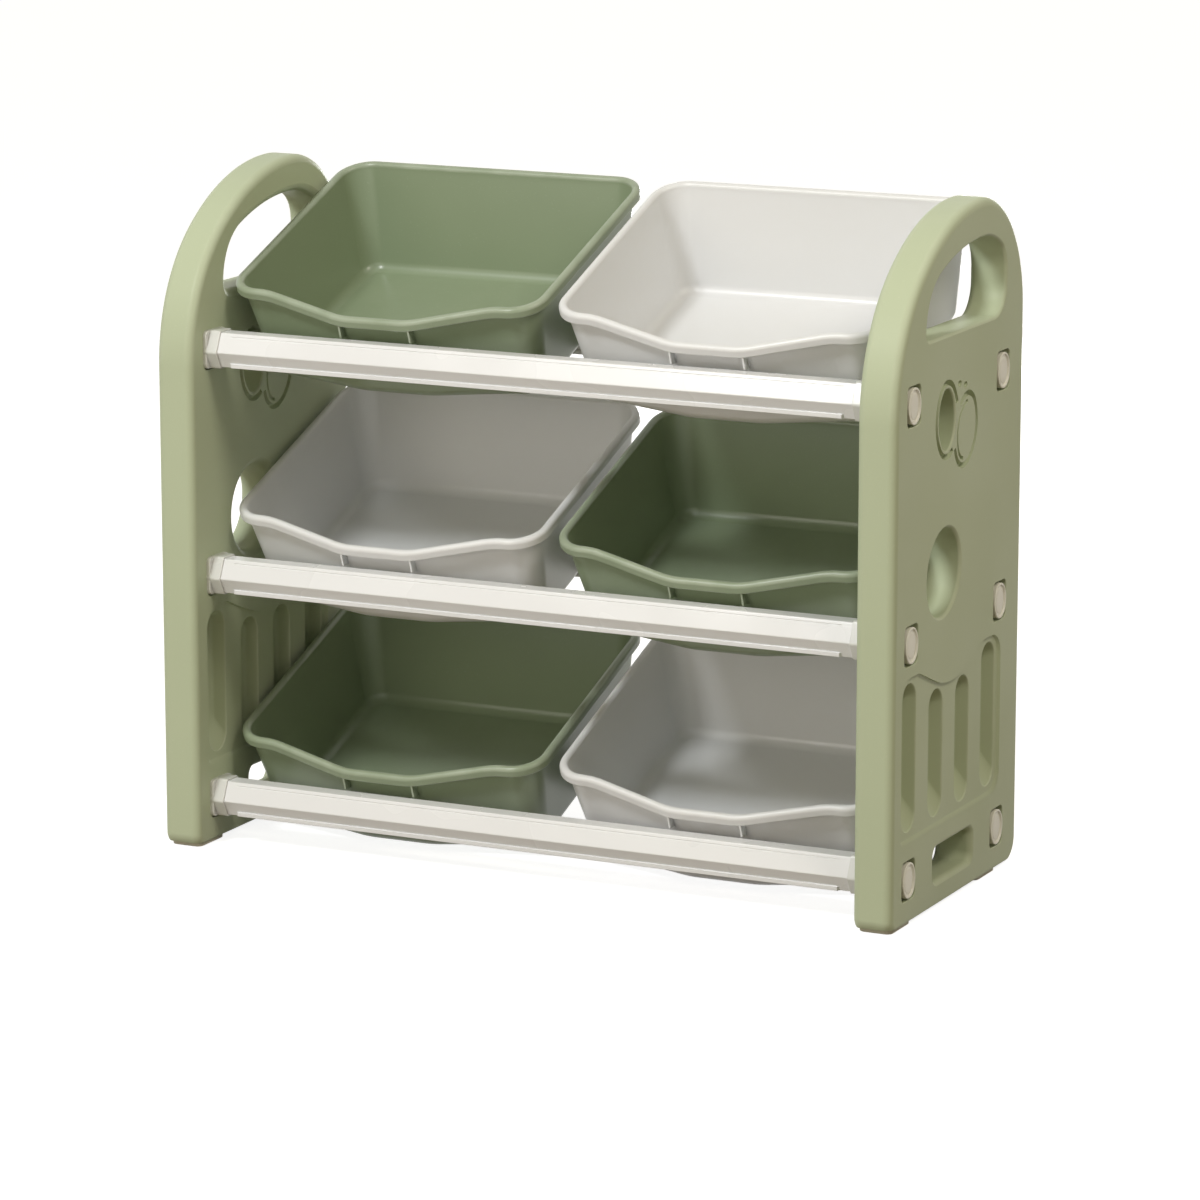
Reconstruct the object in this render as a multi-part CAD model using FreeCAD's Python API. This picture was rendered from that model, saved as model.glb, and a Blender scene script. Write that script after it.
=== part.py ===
import FreeCAD, Part
import math
import os

# Children's toy rack: two moulded side panels, three tiers of paired rails, six tilted bins.
# Origin on the floor, midway between the panels and midway along their depth.
# +X to the right, +Y to the back, +Z up. Lengths in millimetres, angles in degrees.

# Driving dimensions of the whole rack
inner_width = 748.0
panel_thickness = 42.0
panel_depth = 342.0
panel_height = 711.0
tier_names = ("bottom", "middle", "top")
lowest_rail_height = 48.0
crown_over_rail = 183.0
front_rail_setback = 46.0
rear_rail_setback = 59.0
fit_clearance = 0.3
rest_clearance = 0.3
overrun = 6.0

# Side panel outline; the arch keeps its shape with the panel's depth
foot_height = 5.0
arch_peak_share = 0.6667
arch_front_rise_share = 0.576
arch_front_radius_share = 0.5263
arch_rear_rise_share = 0.3626
arch_rear_radius_share = 0.38
panel_edge_radius = 12.5
panel_edge_steps = 2
front_toe_radius = 16.0
rear_toe_radius = 28.0
toe_drop = 6.0

# Openings through the side panel
hole_flare_width = 3.0
hole_flare_depth = 5.0
handle_sill_drop = 126.0
handle_bar = 38.0
handle_front_bar_share = 0.2222
handle_front_radius = 10.0
handle_brow_radius = 60.0
handle_rear_bar_share = 0.1696
handle_rear_rise = 41.0
handle_nape_radius = 34.0
handle_rear_radius = 32.0
window_setback = 130.0
window_over_rail = 58.0
window_half_width = 45.0
window_half_height = 51.0
window_side_radius = 55.0
low_window_front_gap = 62.0
low_window_rear_gap = 63.0
low_window_drop = 44.0
low_window_centre = 46.0
low_window_radius = 14.0

# Fence of blind slots on both faces of the side panel
slot_count = 4
slot_width = 36.0
slot_setback = 49.0
slot_rear_setback = 81.8
slot_foot = 97.0
slot_under_rail = 40.0
slot_head_step = 20.0
slot_depth = 19.0

# Open lobe of the emblem, right through the side panel
open_lobe_setback = 132.0
open_lobe_under_rail = 29.0
open_lobe_half_width = 20.5
open_lobe_half_height = 30.0
open_lobe_side_radius = 38.0

# Rail profile, measured from the line through its front and rear ridges
rail_profile_depth = 38.0
rail_flat_width = 20.0
rail_rise = 20.0
rail_drop = 16.0
rail_ridge_radius = 1.6
rail_wall = 2.2
rail_lip_height = 4.6
rail_lip_step = 1.6
rail_trim_inset = 12.0

# Rail end connector and lock cap
socket_width = 35.0
socket_height = 41.0
socket_corner = 4.5
flange_width = 41.0
flange_rise = 22.0
flange_drop = 18.0
flange_corner = 5.0
flange_thickness = 4.0
sleeve_wall = 1.8
sleeve_length = 16.0
tongue_drop = 18.0
tongue_wall = 3.0
cap_recess = 16.0
cap_half_width = 15.8
cap_half_height = 18.6
cap_side_radius = 22.0
cap_head = 9.0
cap_proud = 1.2
cap_stem_length = 30.0

# Foot pad
foot_length = 52.0
foot_width = 36.0
foot_corner = 6.0
front_foot_setback = 9.0
rear_foot_setback = 52.0
foot_peg_width = 9.0
foot_peg_height = 12.0

# Bin, measured in its own tilted frame: across, along the rim to the back, up from the rim
bin_fall = 90.0
bin_side_gap = 5.0
bin_middle_gap = 14.0
rim_overhang = 50.0
rim_corner_radius = 32.0
bin_corner_radius = 24.0
rim_reach = 4.8
rim_crown = 5.0
rim_skirt = 6.0
rim_bevel = 3.2
lip_bow = 19.0
lip_dip = 13.5
lip_half_width = 39.0
lip_shoulder = 132.0
lip_setback = 7.5
bin_height = 109.5
bin_wall = 2.6
bin_floor = 3.0
bin_side_taper = 16.0
bin_front_taper = 12.0
bin_rear_taper = 35.0
wall_behind_rim = 2.0
gusset_thickness = 2.4
gusset_place = 41.5
gusset_reach = 3.4

# Places worked out from the dimensions above
panel_front = -panel_depth / 2
panel_back = panel_depth / 2
panel_middle = panel_thickness / 2
arch_peak = panel_front + panel_depth * arch_peak_share
arch_front_rise = panel_depth * arch_front_rise_share
arch_front_radius = panel_depth * arch_front_radius_share
arch_rear_rise = panel_depth * arch_rear_rise_share
arch_rear_radius = panel_depth * arch_rear_radius_share
tier_pitch = (panel_height - crown_over_rail - lowest_rail_height) / (len(tier_names) - 1)
rail_places = {"front": panel_front + front_rail_setback, "rear": panel_back - rear_rail_setback}
rail_spacing = rail_places["rear"] - rail_places["front"]
rail_heights = [lowest_rail_height + tier * tier_pitch for tier in range(len(tier_names))]
middle_rail, top_rail = rail_heights[1:]
handle_sill_height = panel_height - handle_sill_drop
handle_front_bar = panel_depth * handle_front_bar_share
handle_rear_bar = panel_depth * handle_rear_bar_share
window_height = middle_rail + window_over_rail
low_window_width = rail_spacing - low_window_front_gap - low_window_rear_gap
low_window_setback = front_rail_setback + low_window_front_gap + low_window_width / 2
open_lobe_height = top_rail - open_lobe_under_rail
slot_pitch = (panel_depth - slot_setback - slot_rear_setback) / (slot_count - 1)
slot_outer_head = middle_rail - slot_under_rail
slot_inner_head = slot_outer_head - slot_head_step
foot_places = {
    "front": panel_front + front_foot_setback + foot_length / 2,
    "rear": panel_back - rear_foot_setback - foot_length / 2,
}
fence_slots = [panel_front + slot_setback + place * slot_pitch for place in range(slot_count)]
side_signs = {"left": -1, "right": 1}
bin_room = (inner_width - bin_middle_gap) / 2 - bin_side_gap
bin_centre = (bin_middle_gap + bin_room) / 2
rim_half_width = bin_room / 2 - rim_reach
rim_depth = rail_spacing + rim_overhang
bin_tilt = math.degrees(math.atan2(bin_fall, rail_spacing))
tilt_sine = math.sin(math.radians(bin_tilt))
tilt_cosine = math.cos(math.radians(bin_tilt))


def vec(x, y, z):
    return FreeCAD.Vector(x, y, z)


def upright(x):
    """Plane of constant x, whose outlines are drawn in y and z."""
    return lambda y, z: vec(x, y, z)


def level(z):
    """Plane of constant z, whose outlines are drawn in x and y."""
    return lambda x, y: vec(x, y, z)


def rounded_loop(points, radii):
    """Closed wire of straight runs through the points, with a tangent arc where a radius is given."""
    starts, middles, ends = [], [], []
    for index, point in enumerate(points):
        backward = (points[index - 1] - point).normalize()
        forward = (points[(index + 1) % len(points)] - point).normalize()
        half_angle = backward.getAngle(forward) / 2
        reach = radii[index] / math.tan(half_angle)
        inward = (backward + forward).normalize()
        starts.append(point + backward * reach)
        middles.append(point + inward * (radii[index] / math.sin(half_angle) - radii[index]))
        ends.append(point + forward * reach)
    edges = []
    for index, radius in enumerate(radii):
        if radius > 0:
            edges.append(Part.Arc(starts[index], middles[index], ends[index]).toShape())
        edges.append(Part.LineSegment(ends[index], starts[(index + 1) % len(points)]).toShape())
    return Part.Wire(edges)


def inset_corners(corners, inset):
    """Corners (a, b, radius) of an anticlockwise outline after it is moved in evenly."""
    moved = []
    for index, (a, b, radius) in enumerate(corners):
        before = corners[index - 1]
        after = corners[(index + 1) % len(corners)]
        run_in = vec(a - before[0], b - before[1], 0).normalize()
        run_out = vec(after[0] - a, after[1] - b, 0).normalize()
        hollow_turn = run_in.cross(run_out).z < 0
        step = inset / (1 + run_in.dot(run_out))
        if radius > 0:
            radius = max(radius + inset if hollow_turn else radius - inset, 0)
        moved.append((a - (run_in.y + run_out.y) * step, b + (run_in.x + run_out.x) * step, radius))
    return moved


def corner_loop(corners, plane, inset=0):
    moved = inset_corners(corners, inset)
    return rounded_loop([plane(a, b) for a, b, radius in moved], [radius for a, b, radius in moved])


def box_corners(a_low, a_high, b_low, b_high, radius=0):
    return [(a_low, b_low, radius), (a_high, b_low, radius), (a_high, b_high, radius), (a_low, b_high, radius)]


def cut_box_corners(a_low, a_high, b_low, b_high, cut):
    """Rectangle with its four corners cut at 45 degrees."""
    return [
        (a_low + cut, b_low, 0),
        (a_high - cut, b_low, 0),
        (a_high, b_low + cut, 0),
        (a_high, b_high - cut, 0),
        (a_high - cut, b_high, 0),
        (a_low + cut, b_high, 0),
        (a_low, b_high - cut, 0),
        (a_low, b_low + cut, 0),
    ]


def arc_between(centre, first, last):
    """Arc about a centre, the short way from one point to the other."""
    radius = (first - centre).Length
    middle = centre + (first + last - centre * 2).normalize() * radius
    return Part.Arc(first, middle, last).toShape()


def oval_crown_radius(half_a, half_b, side_radius):
    """Radius of the crown arcs that run smoothly into side arcs of a given radius."""
    return (half_a**2 + half_b**2 - 2 * half_a * side_radius) / (2 * (half_b - side_radius))


def quarter_oval(plane, a, b, across, rise, side_radius):
    """Two tangent arcs from the side of an oval to its crown; across and rise carry a sign."""
    crown_radius = oval_crown_radius(abs(across), abs(rise), side_radius)
    side_centre = plane(a + across * (1 - side_radius / abs(across)), b)
    crown_centre = plane(a, b + rise * (1 - crown_radius / abs(rise)))
    joint = crown_centre + (side_centre - crown_centre) * (crown_radius / (crown_radius - side_radius))
    return [
        arc_between(side_centre, plane(a + across, b), joint),
        arc_between(crown_centre, joint, plane(a, b + rise)),
    ]


def oval_loop(plane, a, b, half_a, half_b, side_radius):
    """Closed oval of two side arcs and two crown arcs, tangent to each other."""
    crown_radius = oval_crown_radius(half_a, half_b, side_radius)
    stretch = crown_radius / (crown_radius - side_radius)
    joint_a = (half_a - side_radius) * stretch
    joint_b = (half_b - crown_radius) * (1 - stretch)
    arcs = [
        Part.Arc(plane(a + joint_a, b - joint_b), plane(a + half_a, b), plane(a + joint_a, b + joint_b)),
        Part.Arc(plane(a + joint_a, b + joint_b), plane(a, b + half_b), plane(a - joint_a, b + joint_b)),
        Part.Arc(plane(a - joint_a, b + joint_b), plane(a - half_a, b), plane(a - joint_a, b - joint_b)),
        Part.Arc(plane(a - joint_a, b - joint_b), plane(a, b - half_b), plane(a + joint_a, b - joint_b)),
    ]
    return Part.Wire([arc.toShape() for arc in arcs])


def prism(wire, length):
    """Solid of a closed wire drawn out along x."""
    return Part.Face(wire).extrude(vec(length, 0, 0))


def mirrored(shape):
    return shape.mirror(vec(0, 0, 0), vec(1, 0, 0))


# Side panel, drawn with its inner face at x = 0 and its outer face at x = panel_thickness
def panel_loop(x, inset):
    """Outline of the side panel, carried on below the sole so that the sole can be cut square."""
    plane = upright(x)
    front, back = panel_front + inset, panel_back - inset
    low = foot_height - toe_drop + inset
    front_spring, rear_spring = panel_height - arch_front_rise, panel_height - arch_rear_rise
    front_toe, rear_toe = front_toe_radius - inset, rear_toe_radius - inset
    edges = quarter_oval(
        plane, arch_peak, front_spring, front - arch_peak, arch_front_rise - inset, arch_front_radius - inset
    )
    edges += quarter_oval(
        plane, arch_peak, rear_spring, back - arch_peak, arch_rear_rise - inset, arch_rear_radius - inset
    )
    edges += [
        Part.LineSegment(plane(back, rear_spring), plane(back, low + rear_toe)).toShape(),
        arc_between(plane(back - rear_toe, low + rear_toe), plane(back, low + rear_toe), plane(back - rear_toe, low)),
        Part.LineSegment(plane(back - rear_toe, low), plane(front + front_toe, low)).toShape(),
        arc_between(
            plane(front + front_toe, low + front_toe),
            plane(front + front_toe, low),
            plane(front, low + front_toe),
        ),
        Part.LineSegment(plane(front, low + front_toe), plane(front, front_spring)).toShape(),
    ]
    return Part.Wire(Part.__sortEdges__(edges))


def panel_blank():
    """Slab whose rim is rounded towards both faces in even steps, cut square at the sole."""
    rounding = []
    for step in range(panel_edge_steps + 1):
        angle = math.pi / 2 * step / panel_edge_steps
        rounding.append((panel_edge_radius * (1 - math.cos(angle)), panel_edge_radius * (1 - math.sin(angle))))
    sections = [panel_loop(depth, inset) for depth, inset in rounding]
    sections += [panel_loop(panel_thickness - depth, inset) for depth, inset in reversed(rounding)]
    blank = Part.makeLoft(sections, True, True)
    below = Part.makeBox(
        panel_thickness + 2 * overrun,
        panel_depth + 2 * overrun,
        toe_drop + overrun,
        vec(-overrun, panel_front - overrun, foot_height - toe_drop - overrun),
    )
    return blank.cut(below)


def handle_loop(x, inset):
    """Handle opening: level sill, front curve in line with the arch, tighter rear curve."""
    plane = upright(x)
    sill = handle_sill_height + inset
    crown = panel_height - handle_bar - inset
    front, rear = panel_front + handle_front_bar + inset, panel_back - handle_rear_bar - inset
    front_corner, rear_corner = handle_front_radius - inset, handle_rear_radius - inset
    brow_foot, nape_foot = sill + front_corner, crown - handle_rear_rise + inset
    edges = quarter_oval(
        plane, arch_peak, brow_foot, front - arch_peak, crown - brow_foot, handle_brow_radius - inset
    )
    edges += quarter_oval(
        plane, arch_peak, nape_foot, rear - arch_peak, crown - nape_foot, handle_nape_radius - inset
    )
    edges += [
        Part.LineSegment(plane(rear, nape_foot), plane(rear, sill + rear_corner)).toShape(),
        arc_between(
            plane(rear - rear_corner, sill + rear_corner),
            plane(rear, sill + rear_corner),
            plane(rear - rear_corner, sill),
        ),
        Part.LineSegment(plane(rear - rear_corner, sill), plane(front + front_corner, sill)).toShape(),
        arc_between(plane(front + front_corner, brow_foot), plane(front + front_corner, sill), plane(front, brow_foot)),
    ]
    return Part.Wire(Part.__sortEdges__(edges))


def window_loop(x, inset):
    return oval_loop(
        upright(x),
        panel_front + window_setback,
        window_height,
        window_half_width - inset,
        window_half_height - inset,
        window_side_radius - inset,
    )


def low_window_loop(x):
    middle = panel_front + low_window_setback
    half_width, half_height = low_window_width / 2, low_window_drop / 2
    corners = box_corners(
        middle - half_width,
        middle + half_width,
        low_window_centre - half_height,
        low_window_centre + half_height,
        low_window_radius,
    )
    return corner_loop(corners, upright(x))


def open_lobe_loop(x):
    return oval_loop(
        upright(x),
        panel_front + open_lobe_setback,
        open_lobe_height,
        open_lobe_half_width,
        open_lobe_half_height,
        open_lobe_side_radius,
    )


def straight_cutter(loop):
    """Cutter for a hole straight through the panel."""
    return prism(loop(-overrun), panel_thickness + 2 * overrun)


def flared_cutter(loop):
    """Cutter for a straight hole that widens towards both faces."""
    slope = hole_flare_width / hole_flare_depth
    sections = [
        loop(-overrun, -slope * overrun),
        loop(hole_flare_depth, hole_flare_width),
        loop(panel_thickness - hole_flare_depth, hole_flare_width),
        loop(panel_thickness + overrun, -slope * overrun),
    ]
    return Part.makeLoft(sections, True, True)


def slot_cutter(face_x, inward, middle, head):
    """Blind upright slot with round ends."""
    plane = upright(face_x - inward * overrun)
    reach = slot_width / 2
    low, high = slot_foot + reach, head - reach
    edges = [
        Part.Arc(plane(middle + reach, high), plane(middle, head), plane(middle - reach, high)).toShape(),
        Part.LineSegment(plane(middle - reach, high), plane(middle - reach, low)).toShape(),
        Part.Arc(plane(middle - reach, low), plane(middle, slot_foot), plane(middle + reach, low)).toShape(),
        Part.LineSegment(plane(middle + reach, low), plane(middle + reach, high)).toShape(),
    ]
    return prism(Part.Wire(edges), inward * (overrun + slot_depth))


def fence_cutters(face_x, inward):
    """Fence slots of one face, the outer two taller than the inner ones."""
    heads = [slot_outer_head if index in (0, slot_count - 1) else slot_inner_head for index in range(slot_count)]
    return [slot_cutter(face_x, inward, middle, head) for middle, head in zip(fence_slots, heads)]


def socket_cutter(place, height):
    half_width, half_height = socket_width / 2, socket_height / 2
    corners = cut_box_corners(
        place - half_width, place + half_width, height - half_height, height + half_height, socket_corner
    )
    return prism(corner_loop(corners, upright(-overrun)), panel_thickness + 2 * overrun)


def peg(place, half_width, height):
    """Square peg that stands on the sole level, or the hole that takes it."""
    corners = box_corners(panel_middle - half_width, panel_middle + half_width, place - half_width, place + half_width)
    return Part.Face(corner_loop(corners, level(foot_height))).extrude(vec(0, 0, height))


def side_panel():
    cutters = [
        flared_cutter(handle_loop),
        flared_cutter(window_loop),
        straight_cutter(low_window_loop),
        straight_cutter(open_lobe_loop),
    ]
    cutters += fence_cutters(0, 1) + fence_cutters(panel_thickness, -1)
    for place in rail_places.values():
        cutters += [socket_cutter(place, height) for height in rail_heights]
    for place in foot_places.values():
        cutters.append(peg(place, foot_peg_width / 2 + fit_clearance, foot_peg_height + fit_clearance))
    return panel_blank().cut(cutters)


def foot_pad(place):
    half_width, half_length = foot_width / 2, foot_length / 2
    corners = cut_box_corners(
        panel_middle - half_width, panel_middle + half_width, place - half_length, place + half_length, foot_corner
    )
    pad = Part.Face(corner_loop(corners, level(0))).extrude(vec(0, 0, foot_height))
    return pad.fuse(peg(place, foot_peg_width / 2, foot_peg_height))


# Rail, drawn along x from x = 0, with its two ridges at z = 0
def rail_corners(radius):
    """Flattened hexagon of the rail, with a radius at its two ridges."""
    half_depth, half_flat = rail_profile_depth / 2, rail_flat_width / 2
    return [
        (-half_flat, -rail_drop, 0),
        (half_flat, -rail_drop, 0),
        (half_depth, 0, radius),
        (half_flat, rail_rise, 0),
        (-half_flat, rail_rise, 0),
        (-half_depth, 0, radius),
    ]


def rail_lip(length, side):
    """Small lip along the foot of the rail, clear of the sleeves."""
    start = sleeve_length - flange_thickness + rail_trim_inset
    half_flat = rail_flat_width / 2
    lower_pitch = (rail_profile_depth / 2 - half_flat) / rail_drop
    reach = half_flat + rail_lip_height * lower_pitch + rail_lip_step
    corners = box_corners(min(0, side * reach), max(0, side * reach), -rail_drop, rail_lip_height - rail_drop)
    return prism(corner_loop(corners, upright(start)), length - 2 * start)


def rail():
    length = inner_width - 2 * flange_thickness
    body = prism(corner_loop(rail_corners(rail_ridge_radius), upright(0)), length)
    body = body.fuse([rail_lip(length, side) for side in side_signs.values()])
    bore = prism(corner_loop(rail_corners(0), upright(-overrun), rail_wall), length + 2 * overrun)
    return body.cut(bore).removeSplitter()


# Connector, drawn with the panel's inner face at x = 0 and the rail towards +x
def stem_corners():
    """Section of the cap stem, which fills the hollow of the connector's tongue."""
    half_width = socket_width / 2 - tongue_wall - 2 * fit_clearance
    high = socket_height / 2 - tongue_wall - 2 * fit_clearance
    return box_corners(-half_width, half_width, tongue_wall + fit_clearance - tongue_drop, high)


def connector():
    half_flange, half_tongue = flange_width / 2, socket_width / 2 - fit_clearance
    tongue_rise = socket_height / 2 - fit_clearance
    tongue_length = panel_thickness - cap_recess
    flange_outline = cut_box_corners(-half_flange, half_flange, -flange_drop, flange_rise, flange_corner)
    tongue_outline = cut_box_corners(-half_tongue, half_tongue, -tongue_drop, tongue_rise, socket_corner)
    flange = prism(corner_loop(flange_outline, upright(0)), flange_thickness)
    sleeve = prism(corner_loop(rail_corners(0), upright(0), -fit_clearance - sleeve_wall), sleeve_length)
    pocket = prism(corner_loop(rail_corners(0), upright(flange_thickness), -fit_clearance), sleeve_length)
    tongue = prism(corner_loop(tongue_outline, upright(-tongue_length)), tongue_length)
    hollow_start = -tongue_length - overrun
    hollow = prism(corner_loop(stem_corners(), upright(hollow_start), -fit_clearance), -hollow_start)
    return flange.fuse([sleeve, tongue]).cut([pocket, hollow]).removeSplitter()


# Lock cap, drawn with the panel's outer face at x = 0 and the open air towards -x
def lock_cap():
    inner_end = cap_head - cap_proud
    head = prism(oval_loop(upright(-cap_proud), 0, 0, cap_half_width, cap_half_height, cap_side_radius), cap_head)
    stem = prism(corner_loop(stem_corners(), upright(inner_end)), cap_stem_length - inner_end)
    return head.fuse(stem)


# Bin, drawn in its tilted frame: x across, y along the rim to the back, z up from the rim
def bin_corners(half_width, front, back, radius=0):
    """Plan of a line round the bin, bowed out at the front between the shoulders."""
    return [
        (-half_width, front, radius),
        (-lip_shoulder, front, 0),
        (-lip_half_width, front - lip_bow, 0),
        (lip_half_width, front - lip_bow, 0),
        (lip_shoulder, front, 0),
        (half_width, front, radius),
        (half_width, back, radius),
        (-half_width, back, radius),
    ]


def rim_corners():
    """Plan of the rim's middle line."""
    return bin_corners(rim_half_width, 0, rim_depth, rim_corner_radius)


def tub_corners(z):
    """Plan of the tub's outer wall at a height under the rim, before its corners are rounded."""
    share = -z / bin_height
    return bin_corners(
        rim_half_width - wall_behind_rim - share * bin_side_taper,
        wall_behind_rim + share * bin_front_taper,
        rim_depth - wall_behind_rim - share * bin_rear_taper,
    )


def rim_profile():
    """Section of the rolled rim as pairs of inset from its middle line and height over it."""
    inner, outer = wall_behind_rim + bin_wall, -rim_reach
    return [
        (inner, -rim_skirt),
        (outer, -rim_skirt),
        (outer, rim_crown - rim_bevel),
        (outer + rim_bevel, rim_crown),
        (inner, rim_crown),
    ]


def level_rim():
    """Slab of the rim round the back, the sides and the shoulders; the cavity opens it later."""
    slab = Part.makeLoft(
        [corner_loop(rim_corners(), level(height), inset) for inset, height in rim_profile()[1:4]], True, True
    )
    gap = Part.makeBox(
        2 * lip_shoulder,
        rim_depth / 2,
        rim_skirt + rim_crown,
        vec(-lip_shoulder, -lip_bow - overrun, -rim_skirt),
    )
    return slab.cut(gap)


def lip_rim():
    """Rim along the bowed and dipped lip, mitred at each bend and run into both shoulders."""
    sections = []
    for side in side_signs.values():
        x = side * (lip_shoulder + overrun)
        sections.append([vec(x, inset, height) for inset, height in rim_profile()])
    for index in range(4, 0, -1):
        drop = lip_dip if rim_corners()[index][1] < 0 else 0
        section = []
        for inset, height in rim_profile():
            x, y, radius = inset_corners(rim_corners(), inset)[index]
            section.append(vec(x, y, height - drop))
        sections.insert(1, section)
    return Part.makeLoft([Part.makePolygon(section + section[:1]) for section in sections], True, True)


def tapered_block(low_z, top_z, inset, corner_radius):
    """Block with flat tapered sides under the rim, its four upright corners rounded."""
    loops = []
    for z in (low_z, top_z):
        corners = inset_corners(tub_corners(z), inset)
        loops.append([vec(x, y, z) for x, y, radius in corners])
    low, top = loops
    outlines = [low[::-1], top] + [[low[i - 1], low[i], top[i], top[i - 1]] for i in range(len(low))]
    faces = [Part.Face(Part.makePolygon(outline + outline[:1])) for outline in outlines]
    block = Part.Solid(Part.Shell(faces))
    upright_edges = [edge for edge in block.Edges if edge.BoundBox.ZLength > corner_radius]
    corner_edges = [edge for edge in upright_edges if abs(edge.Vertexes[0].X) > lip_shoulder]
    return block.makeFillet(corner_radius, corner_edges)


def tub_blank():
    """Outside of the tub, its front edge cut down to the line of the lip."""
    block = tapered_block(-bin_height, 0, 0, bin_corner_radius)
    front = -lip_bow - overrun
    dip = Part.makePolygon(
        [
            vec(-lip_shoulder, front, 0),
            vec(-lip_half_width, front, -lip_dip),
            vec(lip_half_width, front, -lip_dip),
            vec(lip_shoulder, front, 0),
            vec(lip_shoulder, front, overrun),
            vec(-lip_shoulder, front, overrun),
            vec(-lip_shoulder, front, 0),
        ]
    )
    return block.cut(Part.Face(dip).extrude(vec(0, rim_depth / 2, 0)))


def cavity():
    """Inside of the bin, open at the top."""
    return tapered_block(bin_floor - bin_height, rim_crown + overrun, bin_wall, bin_corner_radius - bin_wall)


def bin_origin(tier):
    """Place of the rim's front line: lip over the front rail, floor on the rear rail's front edge."""
    y = rail_places["front"] + lip_setback + lip_bow * tilt_cosine - lip_dip * tilt_sine
    edge_y = rail_places["rear"] - rail_flat_width / 2
    edge_z = rail_heights[tier] + rail_rise
    z = edge_z + (bin_height + rest_clearance - (edge_y - y) * tilt_sine) / tilt_cosine
    return y, z


def gusset(side):
    """Small upright rib under the lip, cut level where it stands on the front rail."""
    seat = rail_heights[0] + rail_rise + rest_clearance - bin_origin(0)[1]
    top = -lip_dip - rim_skirt / 2
    front = -lip_bow - gusset_reach
    back = tub_corners(seat)[2][1] + bin_wall / 2
    x = side * gusset_place
    outline = Part.makePolygon(
        [
            vec(x, front, top),
            vec(x, front, (seat - front * tilt_sine) / tilt_cosine),
            vec(x, back, (seat - back * tilt_sine) / tilt_cosine),
            vec(x, back, top),
            vec(x, front, top),
        ]
    )
    return prism(outline, -side * gusset_thickness)


def storage_bin():
    pieces = [level_rim(), lip_rim()] + [gusset(side) for side in side_signs.values()]
    return tub_blank().fuse(pieces).cut(cavity()).removeSplitter()


def placed_bin(shape, side, tier):
    y, z = bin_origin(tier)
    moved = shape.copy()
    moved.rotate(vec(0, 0, 0), vec(1, 0, 0), bin_tilt)
    moved.translate(vec(side * bin_centre, y, z))
    return moved


def on_side(shape, side):
    """Shape drawn for the right-hand panel, moved out to it or mirrored to the left-hand one."""
    moved = shape.translated(vec(inner_width / 2, 0, 0))
    return moved if side > 0 else mirrored(moved)


def save(name, shape):
    shape.exportStep(os.path.join("parts", name + ".step"))


def main():
    os.makedirs("parts", exist_ok=True)
    panel, bin_shape = side_panel(), storage_bin()
    rail_shape = rail().translated(vec(flange_thickness - inner_width / 2, 0, 0))
    connector_shape = mirrored(connector())
    cap_shape = mirrored(lock_cap()).translated(vec(panel_thickness, 0, 0))
    caps = []
    for side_name, side in side_signs.items():
        save("side_panel_" + side_name, on_side(panel, side))
        for end_name, place in foot_places.items():
            save("foot_" + side_name + "_" + end_name, on_side(foot_pad(place), side))
        for tier, tier_name in enumerate(tier_names):
            save("bin_" + side_name + "_" + tier_name, placed_bin(bin_shape, side, tier))
            for row_name, place in rail_places.items():
                spot = vec(0, place, rail_heights[tier])
                label = side_name + "_" + row_name + "_" + tier_name
                save("connector_" + label, on_side(connector_shape.translated(spot), side))
                caps.append(on_side(cap_shape.translated(spot), side))
    save("lock_caps", Part.makeCompound(caps))
    for row_name, place in rail_places.items():
        for tier, tier_name in enumerate(tier_names):
            save("rail_" + row_name + "_" + tier_name, rail_shape.translated(vec(0, place, rail_heights[tier])))


main()
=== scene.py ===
import math

import bmesh
import bpy
import numpy as np
from bpy.props import FloatProperty, FloatVectorProperty, PointerProperty
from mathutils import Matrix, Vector


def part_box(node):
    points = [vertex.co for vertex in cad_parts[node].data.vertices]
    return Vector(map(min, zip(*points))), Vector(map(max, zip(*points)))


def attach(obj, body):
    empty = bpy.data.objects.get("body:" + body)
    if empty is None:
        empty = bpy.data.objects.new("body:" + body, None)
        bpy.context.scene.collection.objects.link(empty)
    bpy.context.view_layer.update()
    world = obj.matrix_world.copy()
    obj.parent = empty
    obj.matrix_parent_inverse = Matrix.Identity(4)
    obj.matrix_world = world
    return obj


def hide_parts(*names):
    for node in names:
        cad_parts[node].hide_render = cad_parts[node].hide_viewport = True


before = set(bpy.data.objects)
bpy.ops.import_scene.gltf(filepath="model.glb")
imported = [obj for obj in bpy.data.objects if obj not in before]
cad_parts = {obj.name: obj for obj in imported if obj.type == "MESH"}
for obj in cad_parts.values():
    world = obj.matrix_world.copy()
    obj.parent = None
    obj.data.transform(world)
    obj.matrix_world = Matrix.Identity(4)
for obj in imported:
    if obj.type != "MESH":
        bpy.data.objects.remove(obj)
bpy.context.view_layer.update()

bl_info = {
    "name": "Toy rack looks",
    "version": (1, 0, 0),
    "blender": (4, 5, 0),
    "location": "View3D > Sidebar > Toy rack",
    "description": "Moulded panels, bins, rails and fittings of a children's toy rack, with its studio stage",
    "category": "Object",
}

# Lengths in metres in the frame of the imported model: +X right, +Y back, +Z up, floor at zero.
SIDES = {"left": -1, "right": 1}
TIERS = ("bottom", "middle", "top")
ROWS = ("front", "rear")
GREEN_BINS = ("bin_left_top", "bin_right_middle", "bin_left_bottom")

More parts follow.
